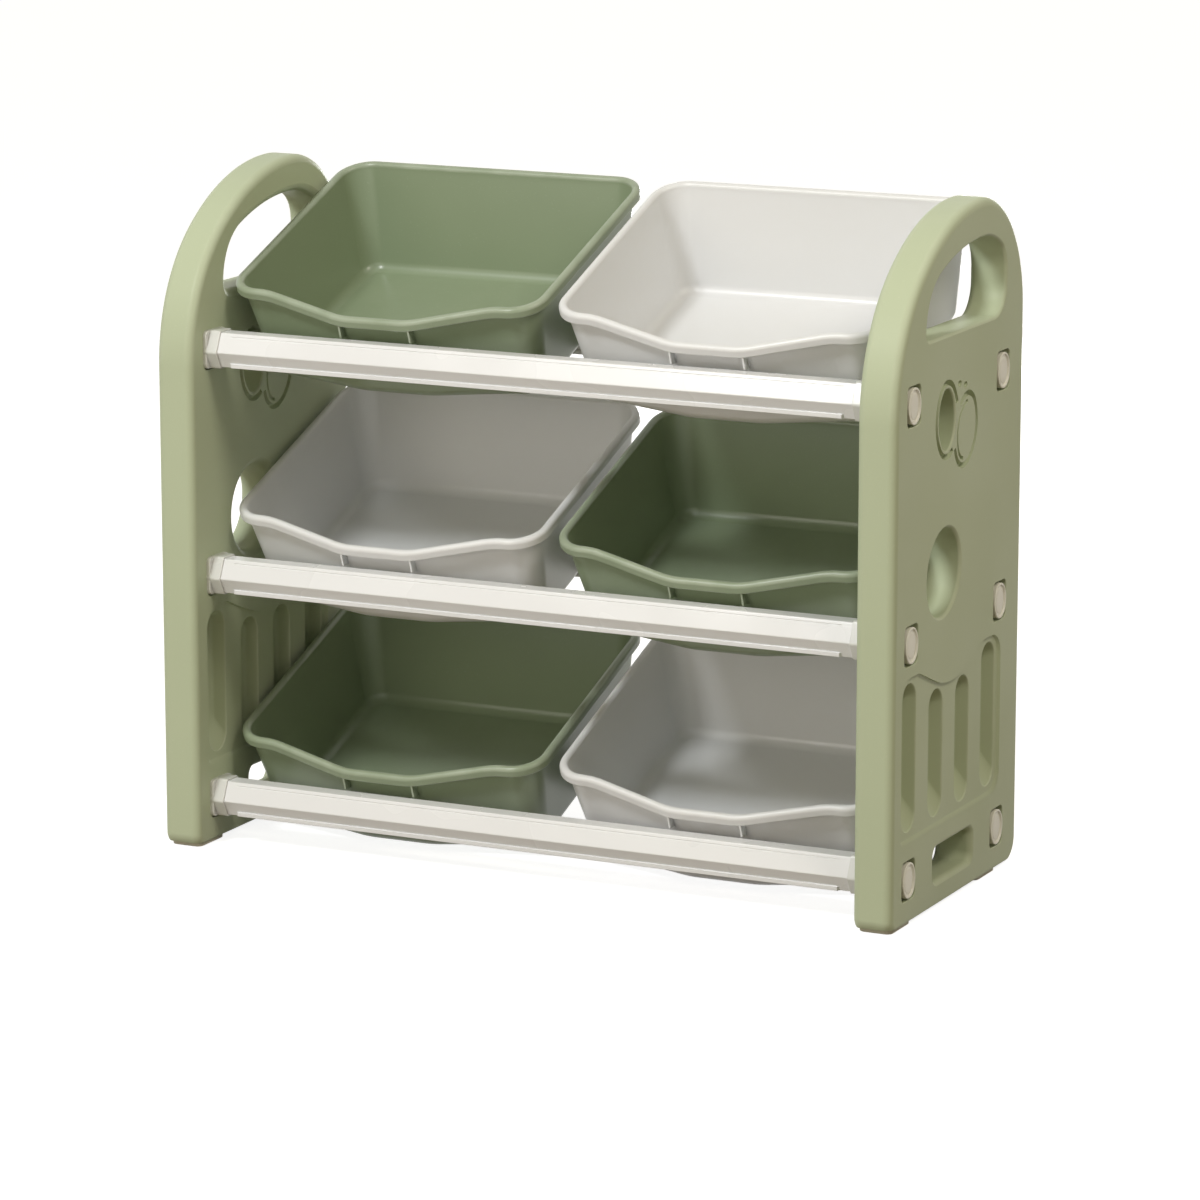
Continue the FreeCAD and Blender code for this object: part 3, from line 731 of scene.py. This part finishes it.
def emblem_cutters(part, x, radius):
    """Border round the open lobe, outline and inner line of the closed lobe and two dimples, on one face."""
    margin, apart = EMBLEM_MARGIN, radius * 1.5
    path, normals = distinct(*oval_place(OPEN_LOBE))
    path = path + normals * margin
    border = shown_run(path, normals, clear_of(path, CLOSED_LOBE, CLOSED_LEAN, apart))
    groove_cutter(part, *border, x, radius, False)
    path, normals = distinct(*oval_place(CLOSED_LOBE, CLOSED_LEAN))
    outline = shown_run(path, normals, clear_of(path, OPEN_LOBE, 0.0, margin + apart))
    groove_cutter(part, *outline, x, radius, False)
    inner_line = shown_run(path - normals * margin, normals, normals[:, 0] < 0.0)
    groove_cutter(part, *inner_line, x, radius * 0.6, False)
    for setback, height in DIMPLE_PLACES:
        outline = oval_place({**DIMPLE, "setback": setback, "height": height}, steps=5)
        rings = []
        for angle in np.linspace(-DIMPLE["sweep"], DIMPLE["sweep"], 9):
            shrink = -DIMPLE["shrink"] * (1 - math.cos(angle))
            rings.append(upright_ring(x + DIMPLE["depth"] * math.sin(angle), outline, shrink))
        part.loft(rings)


def panel_mesh(sizes):
    """Right-hand side panel."""
    outline = panel_outline()
    radius = sizes.edge_radius
    rounding = [(radius * (1 - math.cos(angle)), -radius * (1 - math.sin(angle))) for angle in quarter(8)]
    blank = Moulding()
    rings = [upright_ring(PANEL_INNER + down, outline, offset) for down, offset in rounding]
    far = PANEL_INNER + PANEL_THICKNESS
    rings += [upright_ring(far - down, outline, offset) for down, offset in reversed(rounding)]
    blank.loft(rings)
    holes = Moulding()
    grip, wide, small = sizes.handle_radius, sizes.window_radius, sizes.mouth_radius
    through_cutter(holes, handle_outline(), HOLE_EASE["handle"], (wide, wide), (grip, grip))
    through_cutter(holes, oval_place(WINDOW, WINDOW_LEAN), 0.0, (wide, wide), (grip, grip))
    low_window = box_outline(
        PANEL_FRONT + LOW_WINDOW["setback"],
        LOW_WINDOW["height"],
        LOW_WINDOW["width"],
        LOW_WINDOW["drop"],
        LOW_WINDOW["radius"],
    )
    through_cutter(holes, low_window, HOLE_EASE["low_window"], LOW_MOUTH, LOW_MOUTH)
    through_cutter(holes, oval_place(OPEN_LOBE), HOLE_EASE["open_lobe"], (small, small), (small, small))
    for row in ROWS:
        for tier in TIERS:
            low, high = RAIL_BOXES[(row, tier)]
            height = low.z + RAIL["drop"]
            socket = box_outline(rail_place(row), height, SOCKET["width"], SOCKET["height"], SOCKET["radius"])
            through_cutter(holes, socket, 0.0, SOCKET_MOUTH, SOCKET_MOUTH)
    for inner_face in (True, False):
        blind_cutter(holes, inner_face, fence_run(sizes.fence_depth))
    sole = Moulding()
    floor_box = box_outline(0.0, PANEL_SOLE - 0.05, 1.0, 0.1, 0.001)
    sole.loft([upright_ring(PANEL_INNER - 0.05, floor_box), upright_ring(far + 0.05, floor_box)])
    relief = Moulding()
    for inner_face in (True, False):
        for middle, head in slot_places():
            blind_cutter(relief, inner_face, slot_run(sizes, middle, head))
        emblem_cutters(relief, PANEL_INNER if inner_face else far, sizes.groove_radius)
    cutters = [sole.mesh("sole"), holes.mesh("holes"), relief.mesh("relief")]
    mesh = cut_mesh("panel", blank.mesh("panel_blank"), cutters)
    smoothed(mesh, 38)
    return mesh


class RACK_OT_side_panels(bpy.types.Operator):
    """Moulded side panels with handle, window, emblem and fence"""

    bl_idname = "rack.side_panels"
    bl_label = "Side panels"

    def execute(self, context):
        colours = context.scene.rack_colours
        material = moulded_plastic(
            "Panel green", colours.panel_green, (0.36, 0.44), bump=0.14, rub=0.16, dust=0.05, shine=0.10
        )
        right = panel_mesh(context.scene.rack_panel)
        left = mirrored_mesh(right, "left")
        for side, mesh in (("left", left), ("right", right)):
            node = "side_panel_" + side
            placed("moulded_" + node, mesh, "rack", material, "panel_green", node)
        return {"FINISHED"}


# Bins, made in their tilted frame: x across, y along the rim to the back, z up from the rim
BIN = {
    "half_width": 0.1762,
    "depth": 0.287,
    "height": 0.1095,
    "floor": 0.003,
    "corner": 0.032,
    "foot_corner": 0.024,
    "behind_rim": 0.002,
    "side_taper": 0.016,
    "front_taper": 0.012,
    "rear_taper": 0.035,
    "reach": 0.0048,
    "skirt": 0.006,
    "skirt_radius": 0.0014,
    "crown": 0.005,
    "lip_half_width": 0.039,
    "lip_shoulder": 0.132,
    "lip_setback": 0.0075,
    "middle": 0.188,
    "gusset_place": 0.0415,
    "gusset_reach": 0.0034,
    "gusset_thickness": 0.0024,
}
WALL_LEVELS = (-0.014, -0.030, -0.055, -0.080)
REST = 0.0003  # gap between a bin and the rails that carry it


def soft_ramp(value, blend):
    """Zero below nought and rising by one in one above it, with the bend rounded off."""
    bend = (value + blend) ** 2 / (4 * blend)
    return np.where(value < -blend, 0.0, np.where(value > blend, value, bend))


def lip_share(x):
    """Share of the lip's bow and dip at a place across the bin."""
    run = BIN["lip_shoulder"] - BIN["lip_half_width"]
    share = (BIN["lip_shoulder"] - np.abs(x)) / run
    return soft_ramp(share, 0.12) - soft_ramp(share - 1, 0.12)


class BinPlan:
    """Points round a bin, from which the ring of any height is worked out."""

    def __init__(self):
        across, along, ray_x, ray_y = [], [], [], []

        def add(u, v, x, y):
            across.append(u)
            along.append(v)
            ray_x.append(x)
            ray_y.append(y)

        corner_steps, front_steps, side_steps = 12, 72, 10
        corners = ((1, 0, -math.pi / 2), (1, 1, 0.0), (-1, 1, math.pi / 2), (-1, 0, math.pi))
        for u, v, first in corners:
            for angle in np.linspace(first, first + math.pi / 2, corner_steps + 1):
                add(u, v, math.cos(angle), math.sin(angle))
            if (u, v) == (-1, 0):
                for step in range(1, front_steps):
                    add(-1 + 2 * step / front_steps, 0, 0.0, -1.0)
            else:
                for step in range(1, side_steps):
                    share = step / side_steps
                    if (u, v) == (1, 0):
                        add(1, share, 1.0, 0.0)
                    elif (u, v) == (1, 1):
                        add(1 - 2 * share, 1, 0.0, 1.0)
                    else:
                        add(-1, 1 - share, -1.0, 0.0)
        self.across, self.along = np.array(across), np.array(along)
        self.ray_x, self.ray_y = np.array(ray_x), np.array(ray_y)
        self.lip = (self.along == 0) & (self.ray_y < -0.999)

    def ring(self, half_width, front, back, radius, z, bow):
        x = self.across * (half_width - radius) + radius * self.ray_x
        y = front + radius + self.along * (back - front - 2 * radius) + radius * self.ray_y
        y = y - bow * np.where(self.lip, lip_share(x), 0.0)
        return np.stack((x, y, z + 0 * x), axis=1)


def bin_mesh(sizes):
    """One bin, rolled rim and gussets included, in its tilted frame."""
    plan = BinPlan()
    drop = sizes.lip_dip * np.where(plan.lip, lip_share(plan.across * (BIN["half_width"] - BIN["corner"])), 0.0)

    def rim_ring(inset, height):
        return plan.ring(
            BIN["half_width"] - inset, inset, BIN["depth"] - inset, BIN["corner"] - inset, height - drop, sizes.lip_bow
        )

    def wall_ring(inset, height):
        """Ring of the tapered wall; the lip's dip fades out towards the floor."""
        fade = np.clip((height + BIN["height"] - 0.015) / (BIN["height"] - 0.022), 0.0, 1.0)
        level = height - drop * fade
        share = -level / BIN["height"]
        return plan.ring(
            BIN["half_width"] - BIN["behind_rim"] - share * BIN["side_taper"] - inset,
            BIN["behind_rim"] + share * BIN["front_taper"] + inset,
            BIN["depth"] - BIN["behind_rim"] - share * BIN["rear_taper"] - inset,
            BIN["corner"] - BIN["behind_rim"] - share * (BIN["corner"] - BIN["foot_corner"]) - inset,
            level,
            sizes.lip_bow,
        )

    radius, base = sizes.floor_radius, -BIN["height"]
    rings = [wall_ring(radius * (1 - math.sin(a)), base + radius * (1 - math.cos(a))) for a in quarter(7)]
    skirt, edge = BIN["skirt"], BIN["skirt_radius"]
    rings += [wall_ring(0.0, height) for height in (*reversed(WALL_LEVELS), -skirt - 0.0012)]
    rings += [rim_ring(0.0008, -skirt), rim_ring(edge - BIN["reach"], -skirt)]
    for angle in quarter(4)[1:]:
        rings.append(rim_ring(edge * (1 - math.sin(angle)) - BIN["reach"], edge * (1 - math.cos(angle)) - skirt))
    inner = BIN["behind_rim"] + sizes.wall
    roll = (inner + BIN["reach"]) / 2
    for angle in np.linspace(math.pi, 0.0, 15):
        inset = (inner - BIN["reach"]) / 2 + roll * math.cos(angle)
        rings.append(rim_ring(inset, BIN["crown"] - roll + roll * math.sin(angle)))
    inner_radius, inner_base = radius - sizes.wall, base + BIN["floor"]
    rings += [wall_ring(sizes.wall, height) for height in (-0.004, *WALL_LEVELS)]
    for angle in reversed(quarter(7)):
        inset = sizes.wall + inner_radius * (1 - math.sin(angle))
        rings.append(wall_ring(inset, inner_base + inner_radius * (1 - math.cos(angle))))
    part = Moulding()
    part.loft(rings)
    for side in SIDES.values():
        gusset(part, sizes, side)
    mesh = part.mesh("bin")
    marked_bends(mesh)
    return mesh


def bin_origin(sizes, tier):
    """Place of the rim's front line: lip over the front rail, floor on the rear rail's front edge."""
    sine, cosine = math.sin(sizes.tilt), math.cos(sizes.tilt)
    y = rail_place("front") + BIN["lip_setback"] + sizes.lip_bow * cosine - sizes.lip_dip * sine
    edge_y = rail_place("rear") - RAIL["flat"] / 2
    edge_z = RAIL_BOXES[("rear", tier)][1].z
    return y, edge_z + (BIN["height"] + REST - (edge_y - y) * sine) / cosine


def gusset(part, sizes, side):
    """Upright rib under the lip, cut level where it stands on the front rail."""
    sine, cosine = math.sin(sizes.tilt), math.cos(sizes.tilt)
    seat = RAIL_BOXES[("front", "top")][1].z + REST - bin_origin(sizes, "top")[1]
    top = -sizes.lip_dip - BIN["skirt"] / 2
    front = -sizes.lip_bow - BIN["gusset_reach"]
    back = -sizes.lip_bow + BIN["behind_rim"] - seat / BIN["height"] * BIN["front_taper"] + sizes.wall / 2
    outline = corner_outline(
        [
            (front, (seat - front * sine) / cosine, 0.0008),
            (back, (seat - back * sine) / cosine, 0.0004),
            (back, top, 0.0004),
            (front, top, 0.0004),
        ],
        4,
    )
    edge, thick = ((0.0, -0.0006), (0.0002, -0.0002), (0.0006, 0.0)), BIN["gusset_thickness"]
    run = [*edge, *((thick - down, offset) for down, offset in reversed(edge))]
    part.loft([upright_ring(side * (BIN["gusset_place"] - down), outline, offset) for down, offset in run])


class RACK_OT_bins(bpy.types.Operator):
    """Tilted bins with rolled rims"""

    bl_idname = "rack.bins"
    bl_label = "Bins"

    def execute(self, context):
        sizes, colours = context.scene.rack_bin, context.scene.rack_colours
        shared = {"gloss": (0.29, 0.36), "grain_scale": 700.0, "bump": 0.07, "dust": 0.03}
        green = moulded_plastic("Bin green", colours.bin_green, rub=0.2, tint=0.04, **shared)
        white = moulded_plastic("Bin white", colours.bin_white, rub=0.1, tint=0.02, **shared)
        master = bin_mesh(sizes)
        sine, cosine = math.sin(sizes.tilt), math.cos(sizes.tilt)
        for side_name, side in SIDES.items():
            for tier in TIERS:
                node = "bin_" + side_name + "_" + tier
                y, z = bin_origin(sizes, tier)
                mesh = master.copy()
                for vertex in mesh.vertices:
                    a, b, c = vertex.co
                    vertex.co = (a + side * BIN["middle"], y + b * cosine - c * sine, z + b * sine + c * cosine)
                smoothed(mesh, 40)
                material, slot = (green, "bin_green") if node in GREEN_BINS else (white, "bin_white")
                placed("moulded_" + node, mesh, node, material, slot, node)
        return {"FINISHED"}


# Rails and fittings
CAP = {"across": 0.0158, "rise": 0.0186, "side_radius": 0.022, "proud": 0.0012, "head": 0.009, "edge": 0.0009}
CONNECTOR = {"flange": 0.004, "sleeve": 0.016, "tongue": 0.026, "sleeve_wall": 0.0021}
FOOT = {"corner": 0.007, "edge": 0.0012, "sole_inset": 0.0040}
RAIL_TRIM = {"end": 0.024, "fade": 0.0015, "lip_top": 0.0046}
LINE_PLACES = (0.775, 0.795, 0.825, 0.845)


def rail_outline(sizes, relief):
    """Section of a rail; the relief fades the fine lines and the lips in and out."""
    half_flat, half_depth = RAIL["flat"] / 2, RAIL["depth"] / 2
    lean = (half_depth - half_flat) / RAIL["drop"]
    lip_top, step = RAIL_TRIM["lip_top"], sizes.lip_step * relief
    lip_y = half_flat + lip_top * lean + step
    upper = Vector((half_flat - half_depth, RAIL["rise"])).normalized()
    inward = Vector((-upper.y, upper.x))
    ridge = Vector((half_depth, 0.0))
    length = Vector((half_flat - half_depth, RAIL["rise"])).length
    cuts = [ridge + upper * length * share for share in LINE_PLACES]
    depth = sizes.line_depth * relief
    foot_y = half_flat + (lip_y - half_flat) * relief
    right = [
        (foot_y, -RAIL["drop"], 0.0007),
        (half_flat + lip_top * lean + step, lip_top - RAIL["drop"], 0.0006),
        (half_flat + (lip_top + 0.0003) * lean, lip_top + 0.0003 - RAIL["drop"], 0.0001),
        (half_depth, 0.0, 0.0018),
        (cuts[0].x, cuts[0].y, 0.0001),
        (cuts[1].x + inward.x * depth, cuts[1].y + inward.y * depth, 0.0001),
        (cuts[2].x + inward.x * depth, cuts[2].y + inward.y * depth, 0.0001),
        (cuts[3].x, cuts[3].y, 0.0001),
        (half_flat, RAIL["rise"], 0.0016),
    ]
    left = [(-a, b, radius) for a, b, radius in reversed(right)]
    return corner_outline(right + left, 4)


class RACK_OT_rails(bpy.types.Operator):
    """Rails with a ridge, a lip and a fine line"""

    bl_idname = "rack.rails"
    bl_label = "Rails"

    def execute(self, context):
        sizes, colours = context.scene.rack_fitting, context.scene.rack_colours
        material = moulded_plastic(
            "Rail white", colours.rail_white, (0.2, 0.32), 1200.0, bump=0.05, rub=0.05, dust=0.1, tint=0.03
        )
        plain, full = rail_outline(sizes, 0.05), rail_outline(sizes, 1.0)
        for (row, tier), (low, high) in RAIL_BOXES.items():
            part = Moulding()
            trim, fade = RAIL_TRIM["end"], RAIL_TRIM["fade"]
            stations = (
                (low.x, plain),
                (low.x + trim, plain),
                (low.x + trim + fade, full),
                (high.x - trim - fade, full),
                (high.x - trim, plain),
                (high.x, plain),
            )
            shift = np.array((rail_place(row), low.z + RAIL["drop"]))
            part.loft([upright_ring(x, (points + shift, normals)) for x, (points, normals) in stations])
            node = "rail_" + row + "_" + tier
            mesh = part.mesh(node)
            smoothed(mesh, 24)
            placed("moulded_" + node, mesh, "rack", material, "rail_white", node)
        return {"FINISHED"}


def edge_run(thickness, radius, steps=4):
    """Depths and offsets of a plate whose far edge is rounded."""
    run = [(0.0, 0.0), (thickness - radius, 0.0)]
    run += [(thickness - radius * (1 - math.sin(a)), -radius * (1 - math.cos(a))) for a in quarter(steps)[1:]]
    return run


def hexagon_outline(grow, radius):
    """Section of a rail's sleeve."""
    half_flat, half_depth = RAIL["flat"] / 2, RAIL["depth"] / 2
    points, normals = corner_outline(
        [
            (-half_flat, -RAIL["drop"], radius),
            (half_flat, -RAIL["drop"], radius),
            (half_depth, 0.0, radius),
            (half_flat, RAIL["rise"], radius),
            (-half_flat, RAIL["rise"], radius),
            (-half_depth, 0.0, radius),
        ],
        4,
    )
    return points + normals * grow, normals


class RACK_OT_connectors(bpy.types.Operator):
    """Rail end connectors: flange, sleeve and tongue"""

    bl_idname = "rack.connectors"
    bl_label = "Connectors"

    def execute(self, context):
        sizes, colours = context.scene.rack_fitting, context.scene.rack_colours
        material = moulded_plastic(
            "Connector grey", colours.connector_grey, (0.22, 0.36), 1100.0, bump=0.06, rub=0.25, dust=0.05, coat=0.3
        )
        for side_name, side in SIDES.items():
            for row in ROWS:
                for tier in TIERS:
                    low, high = RAIL_BOXES[(row, tier)]
                    centre = np.array((rail_place(row), low.z + RAIL["drop"]))
                    node = "connector_" + side_name + "_" + row + "_" + tier
                    part = Moulding()
                    flange = box_outline(0.0, 0.002, 0.041, 0.040, 0.006)
                    sleeve = hexagon_outline(CONNECTOR["sleeve_wall"], 0.0016)
                    tongue = box_outline(0.0, 0.0011, 0.0344, 0.0382, 0.005)
                    runs = (
                        (flange, edge_run(CONNECTOR["flange"], sizes.edge_radius), -1),
                        (sleeve, edge_run(CONNECTOR["sleeve"], sizes.edge_radius * 0.7), -1),
                        (tongue, edge_run(CONNECTOR["tongue"], sizes.edge_radius), 1),
                    )
                    for (points, normals), run, way in runs:
                        rings = [
                            upright_ring(side * (PANEL_INNER + way * down), (points + centre, normals), offset)
                            for down, offset in run
                        ]
                        part.loft(rings)
                    mesh = part.mesh(node)
                    smoothed(mesh, 32)
                    placed("moulded_" + node, mesh, "rack", material, "connector_grey", node)
        return {"FINISHED"}


class RACK_OT_lock_caps(bpy.types.Operator):
    """Oval lock caps with a raised rim"""

    bl_idname = "rack.lock_caps"
    bl_label = "Lock caps"

    def execute(self, context):
        sizes, colours = context.scene.rack_fitting, context.scene.rack_colours
        material = moulded_plastic(
            "Cap grey", colours.cap_grey, (0.3, 0.42), 1000.0, bump=0.08, rub=0.25, dust=0.03
        )
        proud, edge, outer = CAP["proud"], CAP["edge"], PANEL_INNER + PANEL_THICKNESS
        back, moat = proud - CAP["head"], proud - sizes.cap_dish
        run = [(back, -0.0006), (back + 0.0006, 0.0), (proud - edge, 0.0)]
        run += [(proud - edge * (1 - math.sin(a)), -edge * (1 - math.cos(a))) for a in quarter(4)[1:]]
        run += [(proud, -0.0020), (proud - 0.0004, -0.0024), (moat, -0.0030), (moat, -0.0052)]
        run += [(moat + 0.0006, -0.0058), (moat + 0.0008, -0.0072), (moat + 0.0009, -0.0120)]
        part = Moulding()
        for side in SIDES.values():
            for row in ROWS:
                for tier in TIERS:
                    low, high = RAIL_BOXES[(row, tier)]
                    place = rail_place(row), low.z + RAIL["drop"]
                    outline = oval_outline(*place, CAP["across"], CAP["rise"], CAP["side_radius"])
                    part.loft([upright_ring(side * (outer + down), outline, offset) for down, offset in run])
        mesh = part.mesh("caps")
        smoothed(mesh, 40)
        placed("moulded_lock_caps", mesh, "rack", material, "cap_grey", "lock_caps")
        return {"FINISHED"}


class RACK_OT_feet(bpy.types.Operator):
    """Foot pads under the panels"""

    bl_idname = "rack.feet"
    bl_label = "Foot pads"

    def execute(self, context):
        colours = context.scene.rack_colours
        material = moulded_plastic(
            "Foot green", colours.foot_green, (0.6, 0.8), 500.0, bump=0.3, rub=0.3, dust=0.2, tint=0.1
        )
        for side in SIDES:
            for row in ROWS:
                node = "foot_" + side + "_" + row
                low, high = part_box(node)
                middle = (low + high) / 2
                width, depth = high.x - low.x, high.y - low.y
                points, normals = box_outline(middle.x, middle.y, width, depth, FOOT["corner"])
                edge = FOOT["edge"]
                run = [(0.0, -FOOT["sole_inset"]), (0.0, -edge)]
                run += [(edge * (1 - math.cos(a)), -edge * (1 - math.sin(a))) for a in quarter(4)[1:]]
                run += [(PANEL_SOLE, 0.0)]
                part = Moulding()
                part.loft([[(x, y, down) for x, y in points + normals * offset] for down, offset in run])
                mesh = part.mesh(node)
                smoothed(mesh, 40)
                placed("moulded_" + node, mesh, "rack", material, "foot_rubber", node)
        return {"FINISHED"}


# Stage
FLOOR_REACH = 30.0
RACK_MIDDLE = (0.0, 0.0, 0.35)
CAMERA_PLACE = (2.3437, -4.8238, 1.4172)
LAMPS = {
    "key": ((-1.1, -3.0, 3.3), RACK_MIDDLE, 0.8, "key_colour"),
    "top": ((2.2, -0.9, 2.7), (0.1, 0.0, 0.35), 1.0, "fill_colour"),
    "fill": ((-1.0, -4.2, 0.9), RACK_MIDDLE, 2.4, "fill_colour"),
    "rear": ((-0.5, 3.4, 0.5), RACK_MIDDLE, 0.9, "key_colour"),
}


def seen_directly(tree, rays):
    """One for rays that show the background: to the camera, in a reflection or through a clear piece."""
    mirrored = math_node(tree, "MAXIMUM", rays.outputs["Is Glossy Ray"], rays.outputs["Is Transmission Ray"])
    return math_node(tree, "MAXIMUM", rays.outputs["Is Camera Ray"], mirrored)


def floor_material():
    """Pale floor that the camera sees as near white, with the rack's shadow on it."""
    material = bpy.data.materials.new("Pale floor")
    material.use_nodes = True
    tree = material.node_tree
    tree.nodes.clear()
    diffuse = tree.nodes.new("ShaderNodeBsdfDiffuse")
    bounce = tree.nodes.new("ShaderNodeBsdfDiffuse")
    glow = tree.nodes.new("ShaderNodeEmission")
    both = tree.nodes.new("ShaderNodeAddShader")
    choice = tree.nodes.new("ShaderNodeMixShader")
    rays = tree.nodes.new("ShaderNodeLightPath")
    leave = tree.nodes.new("ShaderNodeOutputMaterial")
    diffuse.inputs["Color"].default_value = (0.5, 0.5, 0.5, 1.0)
    bounce.inputs["Color"].default_value = (0.22, 0.18, 0.13, 1.0)
    glow.inputs["Strength"].default_value = 0.86
    tree.links.new(diffuse.outputs[0], both.inputs[0])
    tree.links.new(glow.outputs[0], both.inputs[1])
    tree.links.new(seen_directly(tree, rays), choice.inputs[0])
    tree.links.new(bounce.outputs[0], choice.inputs[1])
    tree.links.new(both.outputs[0], choice.inputs[2])
    tree.links.new(choice.outputs[0], leave.inputs["Surface"])
    return material


def area_lamp(name, place, target, size, power, colour):
    lamp = bpy.data.lights.new(name, "AREA")
    lamp.shape = "DISK"
    lamp.size = size
    lamp.energy = power
    lamp.color = colour
    holder = bpy.data.objects.new(name, lamp)
    holder.location = place
    holder.rotation_euler = (Vector(target) - Vector(place)).to_track_quat("-Z", "Y").to_euler()
    bpy.context.scene.collection.objects.link(holder)


class RACK_OT_stage(bpy.types.Operator):
    """Floor, even light, lamps and camera"""

    bl_idname = "rack.stage"
    bl_label = "Stage"

    def execute(self, context):
        sizes, scene = context.scene.rack_stage, context.scene
        scene.view_settings.view_transform = "Standard"
        part = Moulding()
        corners = [(-FLOOR_REACH, -FLOOR_REACH), (FLOOR_REACH, -FLOOR_REACH)]
        corners += [(FLOOR_REACH, FLOOR_REACH), (-FLOOR_REACH, FLOOR_REACH)]
        part.loft([[(x, y, z) for x, y in corners] for z in (-0.01, 0.0)])
        floor = linked("floor", part.mesh("floor"))
        floor.data.materials.append(floor_material())
        world = bpy.data.worlds.new("Studio")
        scene.world = world
        world.use_nodes = True
        tree = world.node_tree
        sky = tree.nodes["Background"]
        rays = tree.nodes.new("ShaderNodeLightPath")
        seen = seen_directly(tree, rays)
        tint = mixed_colour(tree, seen, (*sizes.sky_colour, 1.0), (1.0, 1.0, 1.0, 1.0))
        tree.links.new(tint, sky.inputs["Color"])
        added = math_node(tree, "MULTIPLY", seen, 1.0 - sizes.sky_strength)
        strength = math_node(tree, "ADD", added, sizes.sky_strength)
        tree.links.new(strength, sky.inputs["Strength"])
        for name, (place, target, size, tone) in LAMPS.items():
            area_lamp(name, place, target, size, getattr(sizes, name + "_power"), getattr(sizes, tone))
        lens = bpy.data.cameras.new("camera")
        lens.sensor_width = 36.0
        lens.lens = sizes.lens
        lens.clip_end = 200.0
        camera = bpy.data.objects.new("camera", lens)
        back = Vector(
            (
                math.sin(sizes.azimuth) * math.cos(sizes.elevation),
                -math.cos(sizes.azimuth) * math.cos(sizes.elevation),
                math.sin(sizes.elevation),
            )
        )
        camera.location = CAMERA_PLACE
        camera.rotation_euler = (-back).to_track_quat("-Z", "Y").to_euler()
        scene.collection.objects.link(camera)
        scene.camera = camera
        return {"FINISHED"}


class RACK_PT_sidebar(bpy.types.Panel):
    """Lists the rack's pieces, sizes and colours"""

    bl_label = "Toy rack"
    bl_idname = "RACK_PT_sidebar"
    bl_space_type = "VIEW_3D"
    bl_region_type = "UI"
    bl_category = "Toy rack"

    def draw(self, context):
        for operator in OPERATORS:
            self.layout.operator(operator.bl_idname)
        for label in SETTINGS:
            settings = getattr(context.scene, label)
            box = self.layout.box()
            for name in settings.__annotations__:
                box.prop(settings, name)


SETTINGS = {
    "rack_panel": PanelSizes,
    "rack_bin": BinSizes,
    "rack_fitting": FittingSizes,
    "rack_colours": RackColours,
    "rack_stage": StageSizes,
}
OPERATORS = (
    RACK_OT_stage,
    RACK_OT_side_panels,
    RACK_OT_bins,
    RACK_OT_rails,
    RACK_OT_connectors,
    RACK_OT_lock_caps,
    RACK_OT_feet,
)


def register():
    for settings in SETTINGS.values():
        bpy.utils.register_class(settings)
    for label, settings in SETTINGS.items():
        setattr(bpy.types.Scene, label, PointerProperty(type=settings))
    for operator in OPERATORS:
        bpy.utils.register_class(operator)
    bpy.utils.register_class(RACK_PT_sidebar)


def unregister():
    bpy.utils.unregister_class(RACK_PT_sidebar)
    for operator in reversed(OPERATORS):
        bpy.utils.unregister_class(operator)
    for label in SETTINGS:
        delattr(bpy.types.Scene, label)
    for settings in SETTINGS.values():
        bpy.utils.unregister_class(settings)


def main():
    register()
    bpy.ops.rack.stage()
    bpy.ops.rack.side_panels()
    bpy.ops.rack.bins()
    bpy.ops.rack.rails()
    bpy.ops.rack.connectors()
    bpy.ops.rack.lock_caps()
    bpy.ops.rack.feet()


if __name__ == "__main__":
    main()
